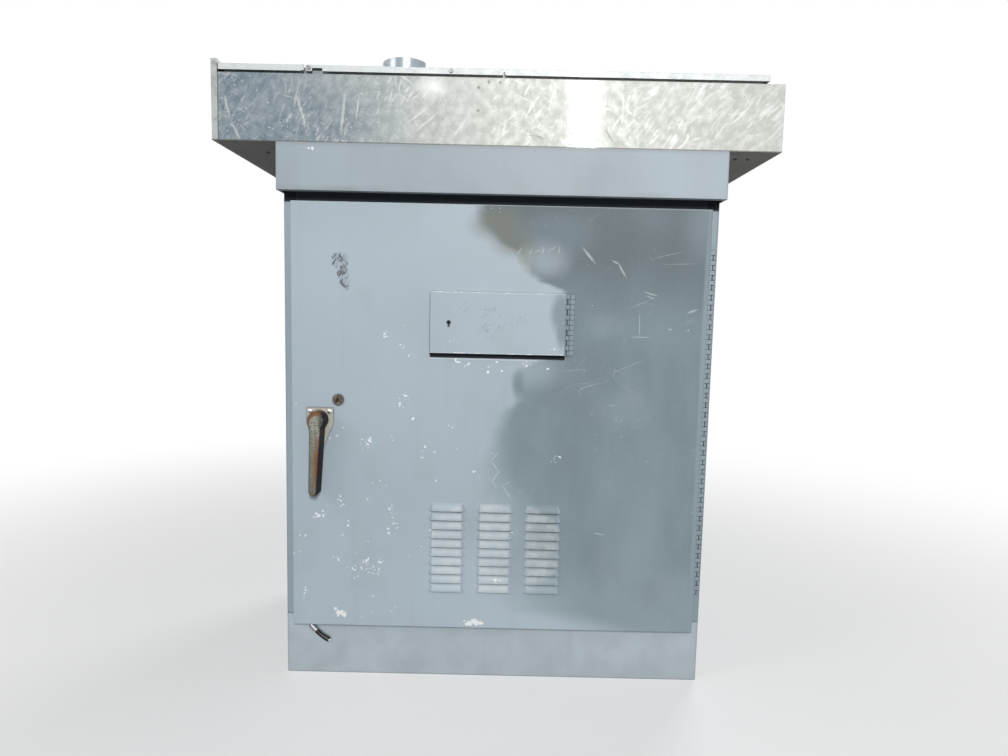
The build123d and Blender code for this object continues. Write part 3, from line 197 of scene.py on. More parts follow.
# Rubbed streaks of the aluminium: seed, angle, scale, stretch, bend, low limit, and the end that they are on
METAL_RUBS = (
    (91.0, 1.45, 60.0, 10.0, 0.14, 0.62, "left"), (92.0, 1.20, 110.0, 6.0, 0.08, 0.59, "left"),
    (93.0, 0.85, 140.0, 5.0, 0.05, 0.57, "left"), (94.0, 0.80, 85.0, 6.0, 0.08, 0.55, "right"),
    (95.0, 1.00, 130.0, 6.0, 0.05, 0.54, "right"), (96.0, -0.5, 120.0, 5.0, 0.06, 0.60, "left"),
    (97.0, 0.35, 110.0, 7.0, 0.06, 0.60, "right"),
)


class NodeKit:
    """Short calls that add nodes to a tree and join their sockets."""

    def __init__(self, tree):
        self.tree = tree

    def feed(self, socket, value):
        if isinstance(value, bpy.types.NodeSocket):
            self.tree.links.new(value, socket)
        else:
            socket.default_value = value

    def add(self, kind, values=None, **settings):
        node = self.tree.nodes.new(kind)
        for name, value in settings.items():
            setattr(node, name, value)
        for key, value in (values or {}).items():
            self.feed(node.inputs[key], value)
        return node

    def math(self, operation, first, second=0.0, clamp=False):
        node = self.add("ShaderNodeMath", {0: first, 1: second}, operation=operation, use_clamp=clamp)
        return node.outputs[0]

    def times(self, product, *factors):
        """Return the product of masks and weights."""
        for factor in factors:
            product = self.math("MULTIPLY", product, factor)
        return product

    def most(self, largest, *others):
        """Return the largest of several masks."""
        for other in others:
            largest = self.math("MAXIMUM", largest, other)
        return largest

    def vector(self, operation, first, second=(0.0, 0.0, 0.0)):
        node = self.add("ShaderNodeVectorMath", {0: first, 1: second}, operation=operation)
        return node.outputs["Value" if operation in ("LENGTH", "DOT_PRODUCT") else "Vector"]

    def scaled(self, vector, factor):
        node = self.add("ShaderNodeVectorMath", {"Vector": vector, "Scale": factor}, operation="SCALE")
        return node.outputs["Vector"]

    def triple(self, *parts):
        return self.add("ShaderNodeCombineXYZ", dict(enumerate(parts))).outputs[0]

    def noise(self, where, scale, detail):
        values = {"Vector": where, "Scale": scale, "Detail": detail}
        return self.add("ShaderNodeTexNoise", values).outputs["Fac"]

    def ramp(self, value, low, high, start=0.0, end=1.0, smooth=True):
        """Return value moved from the span low to high onto the span start to end."""
        kind = "SMOOTHSTEP" if smooth else "LINEAR"
        values = {"Value": value, "From Min": low, "From Max": high, "To Min": start, "To Max": end}
        return self.add("ShaderNodeMapRange", values, interpolation_type=kind).outputs["Result"]

    def mix(self, mask, first, second):
        """Return the colour first changed into second where mask is one."""
        node = self.add("ShaderNodeMix", data_type="RGBA")
        self.feed(node.inputs["Factor"], mask)
        for socket, value in ((node.inputs[6], first), (node.inputs[7], second)):
            self.feed(socket, value if isinstance(value, bpy.types.NodeSocket) else (*value, 1.0)[:4])
        return node.outputs[2]

    def blend(self, mask, first, second):
        """Return the number first changed into second where mask is one."""
        node = self.add("ShaderNodeMix", {"Factor": mask, 2: first, 3: second}, data_type="FLOAT")
        return node.outputs[0]

    def place(self, kind="Object"):
        return self.add("ShaderNodeTexCoord").outputs[kind]

    def axes(self, kind="Object"):
        """Return the three parts of a coordinate."""
        return self.add("ShaderNodeSeparateXYZ", {0: self.place(kind)}).outputs

    def use(self, effect, **values):
        """Place a shared effect with its own values, and return its outputs."""
        node = self.add("ShaderNodeGroup", node_tree=bpy.data.node_groups[effect])
        for name, value in values.items():
            self.feed(node.inputs[name.replace("_", " ")], value)
        return node.outputs


def start_effect(name, inputs, outputs=("Mask",)):
    """Make an empty node group and return its kit, its inputs and its outputs."""
    group = bpy.data.node_groups.new(name, "ShaderNodeTree")
    for label, default in inputs.items():
        kind = "NodeSocketVector" if isinstance(default, tuple) else "NodeSocketFloat"
        group.interface.new_socket(label, in_out="INPUT", socket_type=kind).default_value = default
    for label in outputs:
        kind = "NodeSocketVector" if label == "Normal" else "NodeSocketFloat"
        group.interface.new_socket(label, in_out="OUTPUT", socket_type=kind)
    kit = NodeKit(group)
    return kit, kit.add("NodeGroupInput").outputs, kit.add("NodeGroupOutput").inputs


def shifted(kit, seed):
    """Return the object's coordinates moved by a seed, so that two uses of an effect differ."""
    return kit.vector("ADD", kit.place(), kit.triple(seed, kit.times(seed, 1.7), seed))


def make_cloud():
    """Soft uneven patches."""
    inputs = {"Scale": 5.0, "Stretch": (1.0, 1.0, 1.0), "Detail": 4.0, "Low": 0.35, "High": 0.65, "Seed": 0.0}
    kit, given, out = start_effect("cloud", inputs)
    where = kit.vector("MULTIPLY", shifted(kit, given["Seed"]), given["Stretch"])
    noise = kit.noise(where, given["Scale"], given["Detail"])
    kit.feed(out["Mask"], kit.ramp(noise, given["Low"], given["High"]))


def make_specks():
    """Scattered flecks with ragged outlines."""
    inputs = {"Scale": 60.0, "Size": 0.2, "Share": 0.1, "Ragged": 0.3, "Seed": 0.0}
    kit, given, out = start_effect("specks", inputs)
    where = kit.scaled(shifted(kit, given["Seed"]), given["Scale"])
    cells = kit.add("ShaderNodeTexVoronoi", {"Vector": where, "Scale": 1.0})
    ragged = kit.times(kit.math("SUBTRACT", kit.noise(where, 2.5, 3.0), 0.5), given["Ragged"])
    chosen = kit.add("ShaderNodeSeparateColor", {0: cells.outputs["Color"]})
    size = kit.times(given["Size"], kit.math("ADD", chosen.outputs[1], 0.35))
    inside = kit.ramp(kit.math("ADD", cells.outputs["Distance"], ragged), size, kit.times(size, 0.75))
    kit.feed(out["Mask"], kit.times(inside, kit.math("LESS_THAN", chosen.outputs[0], given["Share"])))


def turned(kit, given):
    """Return coordinates bent by a slow noise and turned by an angle, and the same stretched along it."""
    here = shifted(kit, given["Seed"])
    slow = kit.add("ShaderNodeTexNoise", {"Vector": here, "Scale": 6.0, "Detail": 1.0})
    sway = kit.scaled(kit.vector("SUBTRACT", slow.outputs["Color"], (0.5, 0.5, 0.5)), given["Bend"])
    turn = kit.triple(0.0, given["Angle"])
    bent = kit.vector("ADD", here, sway)
    where = kit.add("ShaderNodeMapping", {"Vector": bent, "Rotation": turn}).outputs[0]
    thin = kit.triple(kit.math("DIVIDE", 1.0, given["Stretch"]), 1.0, 1.0)
    return where, kit.vector("MULTIPLY", where, thin)


def make_scratches():
    """Thin broken lines in one direction across the front."""
    inputs = {
        "Angle": 0.0, "Scale": 20.0, "Stretch": 12.0, "Bend": 0.0, "Width": 0.03, "Share": 0.5, "Seed": 0.0,
    }
    kit, given, out = start_effect("scratches", inputs)
    where, long_way = turned(kit, given)
    line = kit.math("ABSOLUTE", kit.math("SUBTRACT", kit.noise(long_way, given["Scale"], 2.0), 0.5))
    line = kit.ramp(line, given["Width"], kit.times(given["Width"], 0.3))
    edge = kit.math("SUBTRACT", 0.78, kit.times(given["Share"], 0.5))
    kept = kit.ramp(kit.noise(where, 9.0, 3.0), edge, kit.math("ADD", edge, 0.08))
    kit.feed(out["Mask"], kit.times(line, kept))


def make_rubs():
    """Short broad streaks, slightly bent, in one direction across the front."""
    inputs = {
        "Angle": 0.0, "Scale": 60.0, "Stretch": 5.0, "Bend": 0.03, "Low": 0.56, "High": 0.70, "Seed": 0.0,
    }
    kit, given, out = start_effect("rubs", inputs)
    noise = kit.noise(turned(kit, given)[1], given["Scale"], 3.0)
    kit.feed(out["Mask"], kit.ramp(noise, given["Low"], given["High"]))


def oval(kit, given, here, wobble=None):
    """Return a soft oval on the front, one at its middle, with an uneven outline if a wobble is given."""
    flat = kit.vector("MULTIPLY", kit.vector("SUBTRACT", here, given["Centre"]), (1.0, 0.0, 1.0))
    distance = kit.vector("LENGTH", kit.vector("DIVIDE", flat, given["Reach"]))
    if wobble is not None:
        distance = kit.math("ADD", distance, wobble)
    low = kit.math("SUBTRACT", 1.0, given["Softness"])
    return kit.ramp(distance, kit.math("ADD", 1.0, given["Softness"]), low)


def make_area():
    """A plain soft oval on the front, at a centre, with a half width and a half height."""
    inputs = {"Centre": (0.0, 0.0, 0.0), "Reach": (0.1, 1.0, 0.1), "Softness": 0.5}
    kit, given, out = start_effect("area", inputs)
    kit.feed(out["Mask"], oval(kit, given, kit.place()))


def make_spot():
    """One soft patch with an uneven outline on the front, turned about its centre."""
    inputs = {
        "Centre": (0.0, 0.0, 0.0), "Reach": (0.1, 1.0, 0.1), "Softness": 0.4, "Wobble": 0.5,
        "Wobble Scale": 12.0, "Angle": 0.0,
    }
    kit, given, out = start_effect("spot", inputs)
    here = kit.place()
    values = {"Vector": here, "Center": given["Centre"], "Angle": given["Angle"]}
    turn = kit.add("ShaderNodeVectorRotate", values, rotation_type="Y_AXIS").outputs[0]
    wobble = kit.math("SUBTRACT", kit.noise(here, given["Wobble Scale"], 5.0), 0.5)
    kit.feed(out["Mask"], oval(kit, given, turn, kit.times(wobble, given["Wobble"])))


def make_crevice():
    """Grime, and painted shade from the ambient occlusion, where surfaces stand close together."""
    kit, given, out = start_effect("crevice", {"Reach": 0.006, "Low": 0.35, "High": 0.85})
    light = kit.add("ShaderNodeAmbientOcclusion", {"Distance": given["Reach"]}, samples=6)
    kit.feed(out["Mask"], kit.ramp(light.outputs["AO"], given["High"], given["Low"]))


def make_edges():
    """Worn outer edges, and the normal of an edge that is slightly rounded."""
    inputs = {"Radius": 0.0012, "Grain": 90.0, "Low": 0.03, "High": 0.3}
    kit, given, out = start_effect("edges", inputs, ("Mask", "Normal"))
    soft = kit.add("ShaderNodeBevel", {"Radius": given["Radius"]}, samples=4).outputs[0]
    sharp = kit.add("ShaderNodeNewGeometry").outputs["Normal"]
    bend = kit.math("SUBTRACT", 1.0, kit.vector("DOT_PRODUCT", soft, sharp))
    ragged = kit.times(bend, kit.times(kit.noise(kit.place(), given["Grain"], 4.0), 2.0))
    kit.feed(out["Mask"], kit.ramp(ragged, given["Low"], given["High"]))
    kit.feed(out["Normal"], soft)


def make_facing():
    """Where a surface looks to the front, to the top and downwards."""
    kit, given, out = start_effect("facing", {"Limit": 0.7}, ("Front", "Top", "Below"))
    normal = kit.axes("Normal")
    kit.feed(out["Front"], kit.math("LESS_THAN", normal[1], kit.times(given["Limit"], -1.0)))
    kit.feed(out["Top"], kit.math("GREATER_THAN", normal[2], given["Limit"]))
    kit.feed(out["Below"], kit.math("LESS_THAN", normal[2], kit.times(given["Limit"], -1.0)))


def make_line():
    """A thin level or upright line, such as the joint of two sheets."""
    kit, given, out = start_effect("line", {"Axis": (0.0, 0.0, 1.0), "Level": 0.0, "Width": 0.0008})
    along = kit.vector("DOT_PRODUCT", kit.place(), given["Axis"])
    away = kit.math("ABSOLUTE", kit.math("SUBTRACT", along, given["Level"]))
    kit.feed(out["Mask"], kit.ramp(away, given["Width"], kit.times(given["Width"], 0.5)))


def tinted(colour, factor):
    return tuple(channel * factor for channel in tuple(colour)[:3])


class Finish(NodeKit):
    """A material with its own Principled shader, and the shade that its layers have given so far."""

    def __init__(self, name, roughness=0.5, metallic=0.0):
        self.material = bpy.data.materials.new(name)
        self.material.use_nodes = True
        super().__init__(self.material.node_tree)
        self.shader = self.tree.nodes["Principled BSDF"]
        self.set("Roughness", roughness)
        self.set("Metallic", metallic)

    def set(self, socket, value):
        self.feed(self.shader.inputs[socket], value)

    def base(self, mask, colour, dark, light):
        """Start with a colour that a mask turns from darker to lighter."""
        self.shade = self.mix(mask, tinted(colour, dark), tinted(colour, light))

    def lay(self, colour, mask, *weights):
        """Lay a colour over the shade where mask is one, as strongly as the weights say."""
        self.shade = self.mix(self.times(mask, *weights), self.shade, colour)

    def front(self, mask):
        """Return a mask kept to the surfaces that look to the front."""
        return self.times(mask, self.use("facing")["Front"])

    def cloud(self, seed, scale, low, high, detail=4.0, stretch=(1.0, 1.0, 1.0)):
        values = {"Scale": scale, "Stretch": stretch, "Detail": detail, "Low": low, "High": high}
        return self.use("cloud", Seed=seed, **values)["Mask"]

    def specks(self, seed, scale, size, share, ragged):
        return self.use("specks", Scale=scale, Size=size, Share=share, Ragged=ragged, Seed=seed)["Mask"]

    def lines(self, seed, angle, scale, stretch, width, share, bend=0.0):
        values = {"Angle": angle, "Scale": scale, "Stretch": stretch, "Bend": bend, "Width": width}
        return self.use("scratches", Seed=seed, Share=share, **values)["Mask"]

    def rubs(self, seed, angle, scale, stretch, bend, low):
        values = {"Angle": angle, "Scale": scale, "Stretch": stretch, "Bend": bend, "Low": low}
        return self.use("rubs", Seed=seed, High=low + 0.12, **values)["Mask"]

    def line(self, level, width, axis=(0.0, 0.0, 1.0)):
        return self.use("line", Axis=axis, Level=level, Width=width)["Mask"]

    def crevice(self, reach=0.006):
        return self.use("crevice", Reach=reach)["Mask"]

    def edges(self, radius, grain=90.0, low=0.03, high=0.3):
        return self.use("edges", Radius=radius, Grain=grain, Low=low, High=high)

    def spot(self, x, z, width, height, softness=0.4, wobble=0.5, scale=12.0, angle=0.0):
        """Return a soft patch with an uneven outline around a place on the front."""
        values = {"Centre": (x, 0.0, z), "Reach": (width, 1.0, height), "Softness": softness}
        return self.use("spot", Wobble=wobble, Wobble_Scale=scale, Angle=angle, **values)["Mask"]

    def area(self, x, z, width, height, softness=0.5):
        """Return a plain soft oval around a place on the front."""
        return self.use("area", Centre=(x, 0.0, z), Reach=(width, 1.0, height), Softness=softness)["Mask"]

    def strip(self, left, right, low, high, soft=0.001):
        """Return an upright rectangle on the front with slightly soft edges."""
        x, y, z = self.axes()
        across = self.times(self.ramp(x, left - soft, left + soft), self.ramp(x, right + soft, right - soft))
        up = self.times(self.ramp(z, low - soft, low + soft), self.ramp(z, high + soft, high - soft))
        return self.times(across, up)

    def gathered(self, places):
        """Return the union of soft ovals, broken up by a noise so that chips stand in clusters."""
        union = self.most(*[self.area(*place) for place in places])
        broken = self.cloud(26.0, 48.0, 0.42, 0.56, 3.0)
        return self.times(union, self.math("ADD", self.times(broken, 0.6), 0.4))

    def scrape(self, marks, weight, colour):
        """Draw thin ragged marks on the front, each from one place to another."""
        for left, low, right, high, thickness in marks:
            length = hypot(right - left, high - low)
            angle = atan2(high - low, right - left)
            place = ((left + right) / 2, (low + high) / 2)
            mark = self.spot(*place, length / 2, thickness, 0.5, 1.2, 140.0, angle)
            self.lay(colour, self.front(mark), weight)

    def done(self, relief, strength, distance, edge=None):
        """Give the shader its shade and its relief, and return the material."""
        values = {"Height": relief, "Strength": strength, "Distance": distance}
        if edge is not None:
            values["Normal"] = edge["Normal"]
        self.set("Base Color", self.shade)
        self.set("Normal", self.add("ShaderNodeBump", values).outputs[0])
        return self.material


def paint(name, settings, colour, seed, marks=None, shine=0.5):
    """Return an enamel paint with uneven tone, chips, fine scratches, dirt, worn edges and grime with painted
    shade in tight corners.
    """
    finish = Finish(name)
    finish.set("Specular IOR Level", shine)
    edge = finish.edges(0.0014, 70.0, 0.10, 0.34)
    tone = finish.cloud(seed, 2.2, 0.3, 0.7, 5.0)
    finish.base(tone, colour, 0.95, 1.04)
    finish.rough = finish.blend(tone, 0.44, 0.54)
    flaked = marks(finish, settings) if marks else 0.0
    finish.lay(settings.dirt, finish.cloud(seed + 3, 26.0, 0.55, 0.8, 3.0, (1.0, 1.0, 0.06)), 0.06)
    fine = finish.most(finish.lines(seed + 5, 0.5, 60.0, 30.0, 0.010, 0.30),
                       finish.lines(seed + 7, -0.9, 70.0, 26.0, 0.010, 0.26))
    finish.lay(settings.scratch, fine, 0.22)
    dots = finish.specks(seed + 1, 150.0, 0.22, 0.05, 0.5)
    finish.lay(settings.dirt, dots, finish.cloud(seed + 8, 5.0, 0.54, 0.64, 3.0), 0.5)
    finish.lay(settings.dirt, finish.cloud(seed + 4, 7.0, 0.5, 0.78, 8.0), 0.10)
    # Grime and painted shade where surfaces stand close together
    finish.lay(settings.crevice, finish.crevice(), 0.8)
    finish.lay(settings.bare_edge, edge["Mask"], 0.45)
    noise = finish.noise(shifted(finish, seed + 2), 150.0, 5.0)
    flakes = finish.ramp(finish.math("ADD", noise, finish.times(flaked, 0.19)), 0.755, 0.770)
    finish.lay(settings.primer, flakes)
    dust = finish.cloud(seed + 6, 14.0, 0.3, 0.75, 6.0)
    finish.lay(settings.dust, dust, finish.use("facing")["Top"], 0.5)
    finish.set("Roughness", finish.blend(flakes, finish.rough, 0.7))
    peel = finish.cloud(0.0, 420.0, 0.2, 0.8, 1.0)
    relief = finish.math("SUBTRACT", finish.times(peel, 0.10), finish.most(flakes, fine))
    return finish.done(relief, 0.22, 0.0004, edge)


def overpaint_mask(finish):
    """Return where the darker second coat covers the door, with its feathered outline."""
    x, y, z = finish.axes()
    curve = finish.add("ShaderNodeFloatCurve", {"Value": finish.ramp(z, DOOR_FOOT, DOOR_TOP, smooth=False)})
    points = curve.mapping.curves[0].points
    points[0].location = OVERPAINT[0]
    points[1].location = OVERPAINT[-1]
    for place in OVERPAINT[1:-1]:
        points.new(*place).handle_type = "VECTOR"
    curve.mapping.update()
    outline = finish.math("SUBTRACT", finish.times(curve.outputs[0], DOOR_WIDTH), DOOR_WIDTH / 2)
    wobble = finish.times(finish.math("SUBTRACT", finish.noise(finish.place(), 9.0, 6.0), 0.5), 0.08)
    reach = finish.math("ADD", finish.math("SUBTRACT", x, outline), wobble)
    feather = finish.ramp(z, 0.30, 0.80, 0.13, 0.020)
    return finish.ramp(reach, finish.times(feather, -1.0), feather)


def second_coat(finish, colour, height):
    """Lay the darker coat on the door, thinner where the first one shows through, and return its mask."""
    drift = finish.cloud(32.0, 4.5, 0.38, 0.62, 5.0, (1.0, 1.0, 0.5))
    thin = finish.times(finish.ramp(height, 0.15, 0.95, 0.36, 0.0), finish.blend(drift, 0.45, 1.0))
    patch = finish.spot(0.115, 1.126, 0.052, 0.040, 0.7, 0.5, 18.0)
    corner = finish.spot(0.53, 1.25, 0.05, 0.10, 0.8, 0.5, 10.0)
    notch = finish.area(0.090, 0.845, 0.060, 0.040, 0.9)
    right_edge = finish.line(0.534, 0.018, ACROSS)
    for mask, weight in ((patch, 0.60), (corner, 0.22), (notch, 0.55), (right_edge, 0.35)):
        thin = finish.most(thin, finish.times(mask, weight))
    second = finish.times(overpaint_mask(finish), finish.math("SUBTRACT", 1.0, thin))
    streaks = finish.cloud(31.0, 5.0, 0.3, 0.72, 6.0, (1.0, 1.0, 0.5))
    grain = finish.cloud(33.0, 16.0, 0.3, 0.7, 7.0, (1.0, 1.0, 0.35))
    dark = finish.mix(streaks, tinted(colour, 0.90), tinted(colour, 1.12))
    dark = finish.mix(finish.times(grain, 0.20), dark, tinted(colour, 1.5))
    upper = finish.mix(streaks, tinted(colour, 0.60), tinted(colour, 0.80))
    finish.lay(finish.mix(finish.ramp(height, 0.92, 1.16), dark, upper), finish.front(second))
    return second


def door_marks(finish, settings):
    """Add the marks that only the main door carries, and return where its paint is chipped."""
    x, y, z = finish.axes()
    finish.lay(tinted(settings.first_coat, 1.45), finish.ramp(z, 0.50, 0.15, 0.0, 0.30))
    second = second_coat(finish, settings.second_coat, z)
    for across, up, width, height, weight, name, factor in DOOR_SMUDGES:
        mask = finish.front(finish.spot(across, up, width, height, 0.6, 0.7, 14.0))
        finish.lay(tinted(getattr(settings, name), factor), mask, weight)
    finish.scrape(DOOR_SCRAPES, 0.60, settings.scratch)
    finish.scrape(DOOR_HAIRS, 0.40, settings.scratch)
    swirl = finish.spot(0.270, 0.790, 0.110, 0.120, 0.6, 0.6, 9.0)
    hooks = finish.area(0.010, 0.545, 0.060, 0.060, 0.6)
    arcs = finish.most(*[finish.lines(*arc, 14.0, 0.004, 0.6, 0.10) for arc in DOOR_ARCS])
    where = finish.most(finish.math("ADD", swirl, 0.22), finish.times(hooks, 1.4))
    finish.lay(settings.scratch, finish.front(finish.times(arcs, where, finish.most(second, hooks))), 0.32)
    # Painted highlight: a pale line along the door's top edge, where it catches the light
    finish.lay(settings.scratch, finish.line(1.2585, 0.0028), 0.45)
    # Painted shadow of the small door: a dark band on the main door under its lower edge
    painted_small_door_shadow = finish.strip(-0.176, 0.171, 0.8705, 0.8840)
    finish.lay(settings.recess, finish.front(painted_small_door_shadow))
    finish.lay(settings.primer, finish.front(finish.strip(-0.176, 0.100, 0.8665, 0.8690, 0.0006)), 0.35)
    for place in DOOR_FLAKES:
        finish.lay(settings.primer, finish.front(finish.spot(*place, 0.12, 3.4, 110.0)))
    dots = finish.times(finish.specks(57.0, 62.0, 0.17, 0.34, 0.6), finish.cloud(58.0, 9.0, 0.47, 0.57, 3.0))
    dotted = finish.times(finish.area(-0.33, 0.46, 0.22, 0.30, 0.4), dots)
    finish.lay(settings.primer, finish.front(dotted), 0.85)
    scuff = finish.most(finish.spot(-0.410, 1.110, 0.020, 0.022, 0.2, 0.9, 40.0),
                        finish.spot(-0.398, 1.070, 0.014, 0.034, 0.2, 0.9, 40.0, 0.25))
    strokes = finish.most(finish.lines(41.0, 1.1, 90.0, 4.0, 0.05, 0.9),
                          finish.lines(43.0, 2.2, 80.0, 5.0, 0.05, 0.9))
    scuff = finish.times(scuff, finish.math("ADD", strokes, 0.12))
    finish.lay(settings.scuff, finish.front(finish.math("MINIMUM", scuff, 0.9)))
    powder = finish.blend(finish.cloud(19.0, 40.0, 0.35, 0.7, 6.0), 0.12, 0.42)
    louvres = finish.spot(0.0, 0.372, 0.185, 0.130, 0.05, 0.1, 20.0)
    finish.lay(settings.powder, louvres, powder, finish.ramp(y, *LOUVRE_FACE))
    finish.rough = finish.blend(second, finish.rough, 0.60)
    # Less sheen in the painted shadow under the small door
    finish.set("Specular IOR Level", finish.blend(painted_small_door_shadow, 0.5, 0.05))
    return finish.front(finish.gathered(DOOR_CHIPS))


def small_door_marks(finish, settings):
    """Add the small door's overspray, scratches and worn lips, a painted highlight on the top lip, painted
    shade on its underside, grime and painted shade round its keyhole, and return where its paint is chipped.
    """
    overspray = finish.most(finish.spot(0.158, 0.990, 0.024, 0.050, 0.5, 0.5, 14.0),
                            finish.spot(0.160, 0.945, 0.014, 0.040, 0.5, 0.5, 14.0))
    finish.lay(settings.second_coat, finish.front(overspray), 0.80)
    lines = finish.lines(51.0, 0.80, 105.0, 9.0, 0.009, 0.9, 0.01)
    for place in SMALL_DOOR_LINES:
        finish.lay(settings.second_coat, finish.front(finish.times(finish.area(*place, 0.3), lines)), 0.75)
    wear_and_sheen = finish.math("ADD", finish.cloud(53.0, 30.0, 0.5, 0.6, 5.0), 0.4)
    # Pale lips: worn paint, and on the top lip a painted highlight
    for level, width, weight in SMALL_DOOR_LIPS:
        lip = finish.times(finish.line(level, width), finish.times(wear_and_sheen, weight))
        finish.lay(settings.primer, finish.math("MINIMUM", lip, 1.0))
    # Painted shade on the small door's underside
    finish.lay(settings.recess, finish.use("facing")["Below"])
    # Grime and painted shade in a ring round the keyhole and its slot, which widen its dark opening
    x, z = KEYHOLE
    half, drop = KEYHOLE_SLOT
    worn = finish.most(finish.area(x, z, KEYHOLE_RING, KEYHOLE_RING, 0.10),
                       finish.strip(x - half, x + half, z - drop, z, 0.0005))
    finish.lay(settings.recess, finish.front(worn), 0.85)
    return finish.gathered(SMALL_DOOR_CHIPS)


def body_marks(finish, settings):
    """Add the joint of the sill, the painted shade under the hood and the dirt on the body."""
    height = finish.axes()[2]
    # Painted shade on the front just under the hood, with less sheen there
    recess = finish.front(finish.ramp(height, *PAINTED_SHADE_RISE))
    finish.lay(settings.recess, recess)
    finish.set("Specular IOR Level", finish.blend(recess, 0.5, 0.05))
    finish.lay(settings.dirt, finish.ramp(height, 0.35, 0.0), finish.cloud(61.0, 18.0, 0.35, 0.7, 7.0), 0.12)
    sides = finish.math("SUBTRACT", 1.0, finish.use("facing")["Front"])
    haze = finish.cloud(62.0, 2.6, 0.40, 0.64, 6.0, (1.0, 1.0, 0.6))
    runs = finish.cloud(64.0, 20.0, 0.52, 0.72, 4.0, (1.0, 1.0, 0.05))
    rubbed = finish.cloud(65.0, 24.0, 0.64, 0.70, 6.0, (1.0, 0.25, 1.0))
    finish.lay(tinted(settings.sill_coat, 0.9), haze, sides, 0.30)
    finish.lay(settings.dirt, runs, sides, 0.16)
    finish.lay(settings.scratch, rubbed, sides, 0.30)
    finish.lay(tinted(settings.dirt, 0.35), finish.front(finish.line(SILL_TOP, 0.0014)), 0.8)
    return 0.0


def knuckle_joints(node, length):
    """Return a function that adds the dark joints between a hinge's knuckles, grime with painted shade of the
    gaps.
    """
    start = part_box(node)[0].z

    def marks(finish, settings):
        along = finish.math("DIVIDE", finish.math("SUBTRACT", finish.axes()[2], start), length)
        part = finish.math("FRACT", finish.math("ADD", along, 0.5))
        away = finish.times(finish.math("ABSOLUTE", finish.math("SUBTRACT", part, 0.5)), length)
        # Dark joints at the knuckles' ends: grime, and painted shade of the gaps
        finish.lay(settings.recess, finish.ramp(away, 0.0014, 0.0008), 0.60)
        return 0.0

    return marks


def hood_marks(finish, settings):
    """Add soot along the hood's edges, stains, uneven tone, painted shade in its middle and painted light
    towards its right, and return where its paint is chipped.
    """
    x, y, z = finish.axes()
    soot = finish.cloud(71.0, 5.0, 0.42, 0.68, 6.0, (1.0, 1.0, 0.4))
    finish.lay(settings.smudge, finish.ramp(z, 1.300, 1.284), soot, 0.45)
    # Painted shade in the middle of the hood's front, and painted light towards its right end
    finish.lay(tinted(settings.hood_coat, 0.84), finish.area(0.02, 1.34, 0.30, 0.40, 0.8), 0.55)
    finish.lay(tinted(settings.hood_coat, 1.18), finish.ramp(x, 0.25, 0.50, 0.0, 0.8))
    finish.lay(settings.smudge, finish.cloud(72.0, 7.0, 0.45, 0.70, 6.0, (1.0, 1.0, 0.5)), 0.12)
    finish.lay(settings.smudge, finish.ramp(z, 1.385, 1.397), 0.25)
    return finish.gathered(HOOD_CHIPS)


